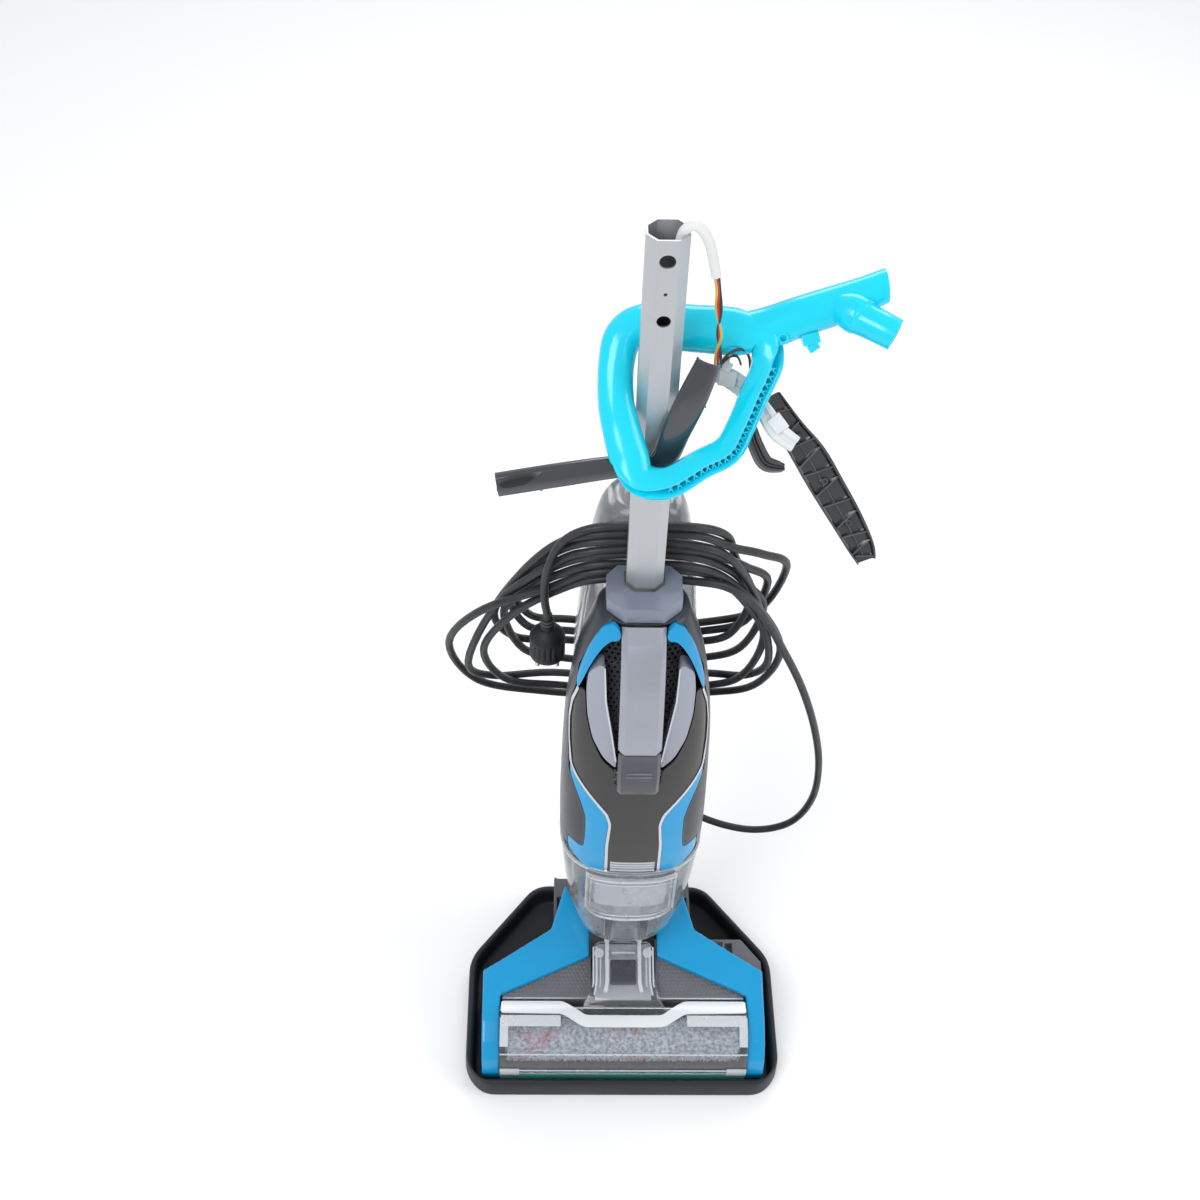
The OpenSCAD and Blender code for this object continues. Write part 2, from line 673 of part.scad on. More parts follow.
// Outline of the dark shield's outer edge, from the bottom up to its tip
shield_edge = [[24.5, 304], [24.5, 348], [22.5, 380], [26, 394], [35, 406], [46, 420], [56, 433], [61.5, 443],
    [64, 472], [64, 493], [61.6, 513], [56.4, 532]];
shield_inside = [[51, 535], [49.8, 511], [44.4, 487], [34, 465], [22, 454], [22, release_z - 1], [0, release_z - 1]];
module tank_shield() color("#3b3a3b") {
    intersection() {
        panel(0, panel_t);
        front_prism(concat([[0, 304]], shield_edge, shield_inside));
    }
}

trim_outer = [[24.5, 302.8], [27.6, 302.8], [27.6, 348], [25.4, 379], [28.6, 391.6], [37, 403.6], [48, 417.6],
    [58.4, 431], [64, 442], [65.4, 472], [65.4, 484], [64.3, 484], [64.3, 472], [61.8, 442.7], [56.3, 432.8],
    [46.3, 419.8], [35.3, 405.8], [26.3, 393.8], [22.8, 380], [24.8, 348]];
module tank_trim() color("#c6cad2") {
    intersection() {
        panel(0, panel_t);
        side_prism(trim_outer);
    }
}

cyan_outline = [[27.9, 302.8], [44, 300.6], [63.6, 316], [63.6, 333.6], [49, 332.4], [47.4, 355], [47.4, 381],
    [52.8, 400.4], [58.8, 416.4], [63.2, 429], [63.4, 439.4], [58.7, 430.8], [48.3, 417.4], [37.3, 403.4],
    [28.9, 391.4], [25.7, 379], [27.9, 348]];
module tank_flanks() color("#14a0dc") {
    intersection() {
        panel(0, panel_t);
        side_prism(cyan_outline);
    }
}

// Clear visor that stands proud of the tank; a finger hooks under it to pour
lip_proud = 8;
module tank_lip() color([0.9, 0.93, 0.96, 0.6]) {
    difference() {
        intersection() {
            body_form(-lip_proud);
            front_prism([[0, 220], [42, 224], [44, 240], [44, 298], [0, 299]]);
            translate([-60, -100, 200]) cube([120, 75, 120]);
        }
        body_form(-lip_proud + 2.5);
    }
    intersection() {
        panel(-lip_proud + 2.4, 0.2);
        front_prism([[0, 294], [43, 294], [43, 297], [0, 297]]);
        translate([-60, -100, 200]) cube([120, 75, 120]);
    }
}

module tank_float() color("#c43a3a") {
    translate([0, -16, tank_top - 60]) cylinder(d = 20, h = 22, $fn = 48);
    translate([0, -16, tank_top - 38.1]) cylinder(d = 6, h = 20, $fn = 48);
}

// ---------------------------------------------------------------- clean water tank

module tank_form(inset) {
    last = len(tank_rows) - 1;
    skin([for (i = [0:last]) let (r = tank_rows[i], z = r[0] + (i == 0 ? inset : i == last ? -inset : 0))
        section(r[1] * tank_w / 2 - inset, r[2] + inset, r[3] - inset, z, 28, 3)]);
}
module clean_tank() color([0.85, 0.88, 0.92, 0.5]) {
    difference() {
        tank_form(0);
        tank_form(tank_wall);
        translate([0, 100, tank_rows[0][0] - 5]) cylinder(d = 20, h = 10, $fn = 48);
    }
}
module tank_cap() color("#2f3136") {
    translate([0, 100, 336]) cylinder(d = 34, h = tank_rows[0][0] - 336 - part_gap, $fn = 64);
    for (a = [0, 180]) translate([0, 100, 333.5]) rotate(a) translate([-14, -2, 0]) cube([10, 4, 3]);
    translate([0, 100, 345]) cylinder(d = 20 - 2 * part_gap, h = 14, $fn = 64);
}

// ---------------------------------------------------------------- loose handle pieces

loop_rows = [[-28.8, 62, 10.8, 11, 0], [-28.8, 90, 10.8, 12, 2], [-24, 112, 14, 14, 6], [-8, 121, 18, 16, 9],
    [30, 119, 19, 16, 9], [62, 117, 19, 16, 7], [84, 112, 14, 14, 4], [86, 92, 10, 11, 1], [76, 67, 9.5, 10, 0],
    [66, 42, 9, 10, 0], [56, 24, 10, 10, -1], [36, 13, 10, 10, -2], [10, -1, 11, 9, -3], [-10, 2, 13, 9, -3],
    [-18, 20, 14, 10, -3], [-25, 42, 12, 10, -1]];
module handle_loop() color("#00d2f0") {
    oval_sweep(plane_rows(loop_rows, 2, true), plane_facing, true);
    oval_sweep(plane_rows([[74, 117, 17, 15, 6], [110, 129, 17, 15, 4], [140, 139, 16.5, 15, 2],
        [160, 148, 13, 13, 0], [175, 154, 12.5, 12, 0]], 2), plane_facing);
    oval_sweep(plane_rows([[128, 134, 13, 12, 0], [150, 129, 13, 13, -8], [168, 123, 13, 13, -15],
        [182, 119, 13, 13, -20]], 1), plane_facing);
}

cover_facing = [0, -1, 0.35];
module grip_cover_long() color("#23252a") {
    oval_sweep([for (r = smooth([[38, 24, 890, 10, 3.4], [27, 16, 860, 12, 3.4], [16, 13, 828, 12, 3.4],
        [7, 11, 799, 11, 3.2], [-8, 10.4, 790, 9, 3], [-32, 8, 791, 9.5, 3.4], [-78, 3, 786, 10, 4],
        [-128, -2, 779, 10, 4]], 3)) [[r[0], r[1], r[2]], r[3], r[4]]], cover_facing);
}

module grip_cover_ribbed() color("#1d1f23") {
    oval_sweep(plane_rows([[96, 66, 6, 4, 30], [112, 38, 11, 5, 30], [128, 16, 14, 5, 30], [143, -8, 14, 5, 30],
        [160, -35, 13, 5, 30], [173, -58, 11, 4.5, 30], [178, -70, 8, 4, 30]], 3), plane_facing);
}

module grip_chassis() color("#e4e6e8") {
    oval_sweep(plane_rows([[46, 82, 5, 4, 18], [58, 80, 8, 4.5, 18], [70, 72, 8, 4.5, 18], [86, 56, 7, 4.5, 18],
        [100, 37, 8, 4.5, 18], [114, 27, 7, 4.5, 18]], 3), plane_facing);
}

trigger_pivot = [76, 46, 18];
module trigger() color("#17181b") {
    translate(place(trigger_pivot[0], trigger_pivot[1], trigger_pivot[2])) rotate([90 - lean, 0, 0])
        cylinder(d = 3, h = 12, center = true, $fn = 48);
    oval_sweep(plane_rows([[72, 50, 3.5, 3.5, 18], [76, 42, 5.5, 4, 18], [82, 26, 6, 4, 18], [90, 12, 6, 4, 18],
        [101, 9, 4.5, 4, 18], [106, 9, 3, 3.5, 18]], 2), plane_facing);
}

module switch_bracket() color("#141518") {
    translate([33, 34, 850]) rotate([-lean, 0, 0]) difference() {
        translate([-6, -3, -12]) cube([12, 6, 24]);
        translate([-3, -4, -8]) cube([6, 8, 9]);
    }
}

sleeve_d = 6.4;
module wire_sleeve() color("#eceeef") {
    round_sweep(smooth([[9, 34, 984], [9.4, 33, 998], [12, 32, 1008], [18, 31.5, tube_top + 6.6],
        [25, 31.5, 1008], [31, 32, 996], [35, 33, 980], [38, 34, 966]], 2), sleeve_d);
}
module wires() color("#7a5b2a") {
    for (k = [-1, 0, 1]) round_sweep(smooth([[38 + 1.8 * k, 34, 967], [42 + 2.4 * k, 37, 935], [45.5 + 2.4 * k, 40, 902],
        [46.5 + 2.4 * k, 43, 882], [48 + 2.4 * k, 50, 863]], 3), 2, 6);
}

// ---------------------------------------------------------------- mains lead

// Stations round one turn: over the front of the tank, down its left side, behind it and back up
function turn_points(k) = let (t = turns[k], z = coil_z + coil_pitch * k, up = z + coil_pitch) [
    [0, coil_y, z], [-46, coil_y, z - 3], [-76, 71, z - 26],
    [-0.8 * t[0], 84, mix(z - 26, t[1], 0.4)], [-t[0], 104, t[1]], [-0.86 * t[0], 124, mix(t[1], t[2], 0.6)],
    [-0.42 * t[0] - 12, 143, t[2] + 14], [0, 149, t[2]], [0.46 * t[3] + 12, 143, t[2] + 14],
    [0.88 * t[3], 124, mix(t[4], t[2], 0.6)], [t[3], 106, t[4]], [0.8 * t[3], 86, mix(up - 26, t[4], 0.4)],
    [76, 71, up - 26], [46, coil_y, up - 3]];

// Tapered strain relief with a flange against the back of the shell; the lead's end is held inside it
module cord_gland() color("#1a1b1d") {
    translate([0, gland_y, lead_route[0][2]]) rotate([-90, 0, 0]) {
        cylinder(d = 24, h = 2.5, $fn = 48);
        cylinder(d1 = 17, d2 = lead_d + 3, h = gland_len, $fn = 48);
    }
}

module cord_lead() color("#161719") round_sweep(smooth(lead_route, 3), lead_d);

// Outer shape of all the turns together
module cord_coil() color("#161719") {
    all = [for (k = [0:len(turns) - 1]) turn_points(k)];
    stations = len(all[0]);
    for (j = [0:stations - 1]) hull() for (k = [0:len(turns) - 1]) for (s = [j, (j + 1) % stations])
        translate(all[k][s]) cube(lead_d, center = true);
}

module cord_end() color("#161719") round_sweep(smooth(end_route, 3), lead_d);

module plug() color("#141517") {
    translate(plug_at - [0, 0, plug_h / 2]) cylinder(d = plug_d, h = plug_h - 10, $fn = 48);
    translate(plug_at + [0, 0, plug_h / 2 - 10.01]) cylinder(d1 = plug_d, d2 = 18, h = 10, $fn = 48);
    translate(plug_at + [0, 0, plug_h / 2 - 0.02]) cylinder(d = 14, h = 20, $fn = 48);
    for (side = [-1, 1]) translate(plug_at + [side * 9.5, 0, -plug_h / 2 - 18.9]) cylinder(d = 4.8, h = 19, $fn = 32);
}

tray();
brush_rack();
foot_base();
foot_cover();
arm_left();
arm_right();
front_seal();
spray_bar();
squeegee();
brush_motor();
drive_belt();
wheel_pins();
suction_hose();
motor_pulley();
brush_core();
brush_pile();
wheel_left();
wheel_right();
nozzle_window();
window_band();
window_latch();
neck_yoke();
neck_socket();
rear_shell();
bulkhead();
vent_flanks();
vent_grille();
shoulder_trims();
carry_handle();
tube_collar();
tube();
tank_seat();
lower_hook();
suction_motor();
impeller();
pump();
control_board();
recovery_tank();
tank_shield();
tank_trim();
tank_flanks();
tank_lip();
tank_float();
tank_release();
clean_tank();
tank_cap();
cord_hook();
handle_loop();
grip_cover_long();
grip_cover_ribbed();
grip_chassis();
trigger();
switch_bracket();
wire_sleeve();
wires();
cord_gland();
cord_lead();
cord_coil();
cord_end();
plug();
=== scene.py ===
import math
import random

import bmesh
import bpy
import numpy as np
from mathutils import Matrix, Vector


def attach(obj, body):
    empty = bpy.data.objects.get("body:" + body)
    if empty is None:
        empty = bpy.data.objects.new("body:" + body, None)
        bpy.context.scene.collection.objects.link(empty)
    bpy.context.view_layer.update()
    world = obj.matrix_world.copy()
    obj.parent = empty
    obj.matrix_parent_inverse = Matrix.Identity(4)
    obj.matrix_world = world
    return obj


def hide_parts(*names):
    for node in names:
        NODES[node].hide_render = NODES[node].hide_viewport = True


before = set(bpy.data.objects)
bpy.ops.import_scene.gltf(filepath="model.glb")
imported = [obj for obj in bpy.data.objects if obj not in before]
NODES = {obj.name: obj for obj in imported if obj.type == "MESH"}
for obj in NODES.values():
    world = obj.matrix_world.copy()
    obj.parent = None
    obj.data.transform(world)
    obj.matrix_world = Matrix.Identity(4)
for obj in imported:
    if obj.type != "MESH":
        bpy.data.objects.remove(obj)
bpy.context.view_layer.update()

MM = 0.001

# ---------------------------------------------------------------- camera
# A hand-held view from above and slightly to the left, leaning a little, at eye height.

camera = bpy.data.objects.new("camera", bpy.data.cameras.new("camera"))
bpy.context.scene.collection.objects.link(camera)
bpy.context.scene.camera = camera
camera.data.lens = 52.28
camera.data.sensor_width = 36
camera.data.clip_start = 0.01
pitch, yaw, roll = math.radians(48.01), math.radians(2.43), math.radians(2.4)
ahead = Vector((math.sin(yaw) * math.cos(pitch), math.cos(yaw) * math.cos(pitch), -math.sin(pitch)))
level = Vector((math.cos(yaw), -math.sin(yaw), 0))
above = level.cross(ahead)
across = math.cos(roll) * level + math.sin(roll) * above
upward = math.cos(roll) * above - math.sin(roll) * level
camera.matrix_world = Matrix.Translation((-0.0834, -1.0169, 1.7701)) @ Matrix(
    [[across[i], upward[i], -ahead[i]] for i in range(3)]).to_4x4()

# ---------------------------------------------------------------- floor and light
# Plain pale floor under soft studio panels, with an even pale sky.

floor_mesh = bpy.data.meshes.new("floor")
floor_mesh.from_pydata([(-6, -6, 0), (6, -6, 0), (6, 6, 0), (-6, 6, 0)], [], [(0, 1, 2, 3)])
floor = bpy.data.objects.new("floor", floor_mesh)
bpy.context.scene.collection.objects.link(floor)
floor_look = bpy.data.materials.new("pale_floor")
floor_look.use_nodes = True
floor_shader = floor_look.node_tree.nodes["Principled BSDF"]
floor_shader.inputs["Base Color"].default_value = (0.96, 0.96, 0.96, 1)
floor_shader.inputs["Roughness"].default_value = 0.85
floor_mesh.materials.append(floor_look)

world = bpy.data.worlds.new("sky")
bpy.context.scene.world = world
world.use_nodes = True
world.node_tree.nodes["Background"].inputs["Color"].default_value = (0.96, 0.98, 1, 1)
world.node_tree.nodes["Background"].inputs["Strength"].default_value = 0.7
bpy.context.scene.view_settings.view_transform = "Standard"


def soft_panel(name, place, size, watts):
    light = bpy.data.objects.new(name, bpy.data.lights.new(name, "AREA"))
    bpy.context.scene.collection.objects.link(light)
    light.data.shape = "RECTANGLE"
    light.data.size, light.data.size_y = size
    light.data.energy = watts
    light.location = place
    light.rotation_euler = (Vector((0, 0, 0.4)) - Vector(place)).to_track_quat("-Z", "Y").to_euler()


soft_panel("key_light", (-1.3, -1.5, 2.6), (1.6, 1.2), 37)
soft_panel("side_light", (2.0, -0.4, 1.7), (1.0, 1.6), 16)
soft_panel("back_light", (0.4, 1.9, 2.0), (1.6, 1.0), 18)

# ---------------------------------------------------------------- mains lead
# Round black rubber lead, 8 mm thick, that leaves the back of the body and is wound in seven loose turns
# round the tube and the clean water tank, with its plug hanging at the left. Extruded and cut to length.

LEAD_D = 8
COIL_Y, COIL_Z, COIL_PITCH = 62, 606, 8.6
LEAD_ROUTE = [(0, 84.9, 235), (1, 108, 232), (8, 129, 215), (26, 136, 187), (56, 132, 157), (98, 121, 133),
    (148, 112, 127), (188, 106, 150), (207, 103, 200), (206, 99, 268), (192, 95, 340), (170, 91, 412),
    (142, 85, 482),
    (112, 77, 550), (80, 68, 592), (46, COIL_Y, 604)]
END_ROUTE = [(0, COIL_Y, 666), (-46, COIL_Y, 664), (-74, 64, 643), (-87, 62, 608), (-89, 61, 574),
    (-86, 62, 548)]
# Each turn: left reach, left height, lowest height, right reach, right height
TURNS = [(150, 452, 335, 132, 470), (183, 462, 322, 144, 452), (130, 510, 378, 124, 512),
    (122, 524, 420, 124, 548), (165, 428, 350, 134, 436), (120, 530, 432, 138, 570),
    (134, 500, 404, 112, 528)]
PLUG_AT = Vector((-86, 62, 512))


def between(a, b, share):
    return a + (b - a) * share


def turn_points(k):
    left, left_z, low_z, right, right_z = TURNS[k]
    start = COIL_Z + COIL_PITCH * k
    end = start + COIL_PITCH
    return [(0, COIL_Y, start), (-46, COIL_Y, start - 3), (-76, 71, start - 26),
        (-0.8 * left, 84, between(start - 26, left_z, 0.4)), (-left, 104, left_z),
        (-0.86 * left, 124, between(left_z, low_z, 0.6)), (-0.42 * left - 12, 143, low_z + 14),
        (0, 149, low_z),
        (0.46 * right + 12, 143, low_z + 14), (0.88 * right, 124, between(right_z, low_z, 0.6)),
        (right, 106, right_z), (0.8 * right, 86, between(end - 26, right_z, 0.4)), (76, 71, end - 26),
        (46, COIL_Y, end - 3)]


def smooth_line(points, steps, closed=False):
    """A smooth curve through the points, with that many steps in each gap."""
    points = [np.array(p, float) for p in points]
    count = len(points)
    line = []
    for i in range(count if closed else count - 1):
        if closed:
            a, b, c, d = (points[(i + k) % count] for k in (-1, 0, 1, 2))
        else:
            a, b, c, d = (points[min(max(i + k, 0), count - 1)] for k in (-1, 0, 1, 2))
        for k in range(steps):
            f = k / steps
            line.append(0.5 * (2 * b + (c - a) * f + (2 * a - 5 * b + 4 * c - d) * f ** 2
                + (3 * b - a - 3 * c + d) * f ** 3))
    return line if closed else line + [points[-1]]


def round_line(name, line, diameter, body, look, replaces=()):
    """A curve of one spline with a round section, from points in millimetres."""
    data = bpy.data.curves.new(name, "CURVE")
    data.dimensions = "3D"
    data.bevel_depth = diameter / 2 * MM
    data.bevel_resolution = 3
    data.use_fill_caps = True
    spline = data.splines.new("POLY")
    spline.points.add(len(line) - 1)
    spline.points.foreach_set("co", [v for p in line for v in (p[0] * MM, p[1] * MM, p[2] * MM, 1)])
    spline.use_smooth = True
    obj = bpy.data.objects.new(name, data)
    bpy.context.scene.collection.objects.link(obj)
    data.materials.append(look)
    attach(obj, body)
    if replaces:
        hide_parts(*replaces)
    return obj


def effect(name, inputs, outputs):
    """An empty shader node group with float inputs and the named outputs."""
    group = bpy.data.node_groups.new(name, "ShaderNodeTree")
    for label, value in inputs:
        socket = group.interface.new_socket(label, in_out="INPUT", socket_type="NodeSocketFloat")
        socket.default_value = value
    for label, kind in outputs:
        group.interface.new_socket(label, in_out="OUTPUT", socket_type=kind)
    return group, group.nodes.new("NodeGroupInput"), group.nodes.new("NodeGroupOutput")


def set_inputs(node, values):
    for label, value in values.items():
        node.inputs[label.replace("_", " ")].default_value = value


def add_node(tree, kind, group=None, **values):
    """A shader node with its inputs set by name, with an underscore for each space."""
    node = tree.nodes.new(kind)
    if group:
        node.node_tree = group
    if kind == "ShaderNodeMix":
        node.data_type = "RGBA"
    set_inputs(node, values)
    return node


def wire(tree, *links):
    """Links, each as the node and output it comes from, then the node and input it goes to."""
    for source, output, target, socket in links:
        tree.links.new(source.outputs[output], target.inputs[socket])


# Moulded grain: fine pits over slow waviness, as a height, and a cloudy mask for dust and handling marks
grain, grain_in, grain_out = effect("moulded_grain", [("Grain Scale", 900), ("Cloud Scale", 14)],
    [("Height", "NodeSocketFloat"), ("Cloud", "NodeSocketFloat")])
grain_place = add_node(grain, "ShaderNodeTexCoord")
grain_pits = add_node(grain, "ShaderNodeTexNoise", Detail=3)
grain_cloud = add_node(grain, "ShaderNodeTexNoise", Detail=5, Roughness=0.6)
wire(grain, (grain_place, "Object", grain_pits, "Vector"), (grain_place, "Object", grain_cloud, "Vector"),
    (grain_in, "Grain Scale", grain_pits, "Scale"), (grain_in, "Cloud Scale", grain_cloud, "Scale"),
    (grain_pits, "Fac", grain_out, "Height"), (grain_cloud, "Fac", grain_out, "Cloud"))

# Worn edges: lighter where the surface turns sharply outwards
wear, wear_in, wear_out = effect("edge_wear", [("Breakup", 60)], [("Mask", "NodeSocketFloat")])
wear_shape = add_node(wear, "ShaderNodeNewGeometry")
wear_ramp = add_node(wear, "ShaderNodeMapRange", From_Min=0.53, From_Max=0.62)
wear_place = add_node(wear, "ShaderNodeTexCoord")
wear_noise = add_node(wear, "ShaderNodeTexNoise")
wear_times = add_node(wear, "ShaderNodeMath")
wear_times.operation = "MULTIPLY"
wire(wear, (wear_shape, "Pointiness", wear_ramp, "Value"), (wear_place, "Object", wear_noise, "Vector"),
    (wear_in, "Breakup", wear_noise, "Scale"), (wear_ramp, "Result", wear_times, 0),
    (wear_noise, "Fac", wear_times, 1), (wear_times, "Value", wear_out, "Mask"))


def new_look(name, **values):
    """A new material, its node tree and its Principled shader with the inputs set by name."""
    look = bpy.data.materials.new(name)
    look.use_nodes = True
    shader = look.node_tree.nodes["Principled BSDF"]
    set_inputs(shader, values)
    return look, look.node_tree, shader


def add_grain(tree, shader, colours, cloudy, rough, grain_scale, cloud_scale, bump, depth):
    """Grain in the bump, roughness that changes with the clouds, and a mix of two colours to link on."""
    surface = add_node(tree, "ShaderNodeGroup", grain, Grain_Scale=grain_scale, Cloud_Scale=cloud_scale)
    shade = add_node(tree, "ShaderNodeMix", A=(*colours[0], 1), B=(*colours[1], 1))
    patchy = add_node(tree, "ShaderNodeMapRange", From_Min=cloudy[0], From_Max=cloudy[1], To_Min=rough[0],
        To_Max=rough[1])
    relief = add_node(tree, "ShaderNodeBump", Strength=bump, Distance=depth)
    wire(tree, (surface, "Cloud", shade, "Factor"), (surface, "Cloud", patchy, "Value"),
        (patchy, "Result", shader, "Roughness"), (surface, "Height", relief, "Height"),
        (relief, "Normal", shader, "Normal"))
    return shade


def moulding(name, colour, roughness, grain_scale=900, bump=0.06, cloud=14, spread=0.12, shift=0.10,
        worn=0.25,
        coat=0.0, metallic=0.0, specular=0.32):
    """A moulded or painted finish: cloudy colour, grain in the bump, patchy roughness and pale worn edges."""
    look, tree, shader = new_look(name, Metallic=metallic, Coat_Weight=coat, Coat_Roughness=0.12,
        Transmission_Weight=0.0, Specular_IOR_Level=specular)
    colours = [c * (1 - shift) for c in colour], [min(c * (1 + shift) + 0.004, 1) for c in colour]
    rough = max(roughness - spread / 2, 0.02), min(roughness + spread / 2, 1)
    shade = add_grain(tree, shader, colours, (0.3, 0.7), rough, grain_scale, cloud, bump, 0.0004)
    edges = add_node(tree, "ShaderNodeGroup", wear)
    rub = add_node(tree, "ShaderNodeMix", B=(*[c + (0.75 - c) * worn for c in colour], 1))
    wire(tree, (shade, "Result", rub, "A"), (edges, "Mask", rub, "Factor"),
        (rub, "Result", shader, "Base Color"))
    return look


lead_rubber = moulding("lead_rubber", (0.009, 0.0095, 0.011), 0.4, grain_scale=700, bump=0.1, shift=0.3)
LEAD_STEP = 4
LANE_HALF, LANE_LOW = 50, COIL_Z - 16


def even_steps(line, step):
    """The same curve as points a fixed distance apart."""
    line = np.array([tuple(p) for p in line], float)
    along = np.r_[0, np.cumsum(np.linalg.norm(np.diff(line, axis=0), axis=1))]
    places = np.linspace(0, along[-1], int(along[-1] / step) + 1)
    return np.stack([np.interp(places, along, line[:, axis]) for axis in range(3)], axis=1)


def spread_turns(line, gap, rounds=320, skip=9, soft=8, gain=2.4, held=6, easing=20):
    """Moves parts of the cord that come nearer to each other than the gap apart, in long gentle curves.

    The first and last points stay, and the turns between the tube and the tank keep to their narrow lane.
    """
    laid = even_steps(line, LEAD_STEP)
    points = laid.copy()
    one, other = np.triu_indices(len(points), skip)
    near = np.linalg.norm(points[one] - points[other], axis=1) < 5 * gap
    one, other = one[near], other[near]
    from_end = np.minimum(np.arange(len(points)), np.arange(len(points))[::-1])
    free = np.clip((from_end - held) / easing, 0, 1)[:, None]
    behind_tube = (np.abs(laid[:, 0]) < LANE_HALF) & (laid[:, 2] > LANE_LOW)
    for _ in range(rounds):
        apart = points[one] - points[other]
        distance = np.linalg.norm(apart, axis=1)
        close = distance < gap
        if not close.any():
            break
        step = apart[close] * ((gap - distance[close]) / 2 / np.maximum(distance[close], 0.001))[:, None]
        push = np.zeros_like(points)
        count = np.zeros(len(points))
        np.add.at(push, one[close], step)
        np.add.at(push, other[close], -step)
        np.add.at(count, one[close], 1)
        np.add.at(count, other[close], 1)
        moved = points - laid + gain * push / np.maximum(count, 1)[:, None]
        moved[behind_tube, 1] = np.clip(moved[behind_tube, 1], -1.5, 0.5)
        for _ in range(soft):
            moved[1:-1] = moved[1:-1] / 2 + (moved[:-2] + moved[2:]) / 4
        points = laid + moved * free
    return [Vector(p) for p in points]


lead_line = smooth_line(LEAD_ROUTE + [p for k in range(len(TURNS)) for p in turn_points(k)] + END_ROUTE, 6)
LEAD_GAP = 1.07 * LEAD_D
lead_line = spread_turns(lead_line, LEAD_GAP)
lead = round_line("mains_lead", lead_line, LEAD_D, "upright", lead_rubber,
    ["cord_lead", "cord_coil", "cord_end"])

# ---------------------------------------------------------------- plug
# Round moulded rubber plug with finger ribs, a tapered neck on the lead and two plated pins.


def mesh_piece(name, forms, body, look, replaces=(), sharp=35):
    """A mesh from forms, each points in millimetres and faces. Edges sharper than the angle stay sharp."""
    points, faces = [], []
    for form_points, form_faces in forms:
        start = len(points)
        points += list(form_points)
        faces += [tuple(i + start for i in face) for face in form_faces]
    mesh = bpy.data.meshes.new(name)
    mesh.from_pydata([Vector(p) * MM for p in points], [], faces)
    return finish_piece(bpy.data.objects.new(name, mesh), body, look, replaces, sharp)


def finish_piece(obj, body, look, replaces=(), sharp=35):
    mesh = obj.data
    form = bmesh.new()
    form.from_mesh(mesh)
    bmesh.ops.remove_doubles(form, verts=form.verts, dist=0.00001)
    bmesh.ops.recalc_face_normals(form, faces=form.faces)
    form.to_mesh(mesh)
    form.free()
    mesh.polygons.foreach_set("use_smooth", [True] * len(mesh.polygons))
    if sharp is not None:
        mesh.set_sharp_from_angle(angle=math.radians(sharp))
    if obj.name not in bpy.context.scene.collection.objects:
        bpy.context.scene.collection.objects.link(obj)
    mesh.materials.clear()
    mesh.materials.append(look)
    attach(obj, body)
    if replaces:
        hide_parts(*replaces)
    return obj


def loft(rings, closed=False, caps=True):
    """Points and faces of a skin over rings that all have the same number of points."""
    n, m = len(rings[0]), len(rings)
    points = [p for ring in rings for p in ring]
    faces = []
    for k in range(m if closed else m - 1):
        for i in range(n):
            a, b = k * n + i, k * n + (i + 1) % n
            c, d = ((k + 1) % m) * n + (i + 1) % n, ((k + 1) % m) * n + i
            faces.append((a, b, c, d))
    if caps and not closed:
        faces.append(tuple(range(n - 1, -1, -1)))
        faces.append(tuple((m - 1) * n + i for i in range(n)))
    return points, faces


def across_axis(axis):
    """The axis at length one, and two directions square to it."""
    axis = Vector(axis).normalized()
    first = axis.orthogonal().normalized()
    return axis, first, axis.cross(first)


def turned(profile, at, axis, sides=48, ribs=0, rib_depth=0.0, rib_rows=()):
    """Rings of a turned form: rows of (distance along the axis, radius) from the point at."""
    axis, first, second = across_axis(axis)
    rings = []
    for row, (along, radius) in enumerate(profile):
        ring = []
        for i in range(sides):
            turn = 2 * math.pi * i / sides
            r = radius - (rib_depth * (0.5 + 0.5 * math.cos(ribs * turn)) ** 3 if ribs
                and row in rib_rows else 0)
            ring.append(Vector(at) + axis * along + (first * math.cos(turn) + second * math.sin(turn)) * r)
        rings.append(ring)
    return rings


plug_rubber = moulding("plug_rubber", (0.012, 0.012, 0.014), 0.5, grain_scale=1200, bump=0.15)
plug_rings = turned([(-18, 14.5), (-18, 16.2), (-17, 17), (-12, 17), (-8, 17), (2, 17), (7.5, 17), (9, 16.5),
    (14, 13), (18, 9.5), (19, 7), (24, 6.6), (30, 5.6), (38, 4.4)], PLUG_AT, (0, 0, 1), 72, ribs=18,
    rib_depth=1.6, rib_rows=(4, 5))
plug_forms = [loft(plug_rings)]
for ring_z in (23, 27, 31):
    plug_forms.append(loft(turned([(ring_z - 1, 5.6), (ring_z - 0.6, 6.7), (ring_z + 0.6, 6.5),
        (ring_z + 1, 5.4)],
        PLUG_AT, (0, 0, 1), 32)))
plug = mesh_piece("plug_body", plug_forms, "upright", plug_rubber, ["plug"])
pin_metal = moulding("pin_plating", (0.72, 0.7, 0.66), 0.28, metallic=1.0, bump=0.03)
pin_forms = []
for side in (-1, 1):
    pin_forms.append(loft(turned([(-37, 1.4), (-36, 2.2), (-34, 2.4), (-17, 2.4)],
        PLUG_AT + Vector((side * 9.5, 0, 0)),
        (0, 0, 1), 24)))
plug_pins = mesh_piece("plug_pins", pin_forms, "upright", pin_metal)

# ---------------------------------------------------------------- rear shell
# Dark grey-blue moulded half shell of the upright body, open at the front for the tank and the vents.
# It carries the collar, the hooks and the seat of the clean water tank, and is screwed to the bulkhead.

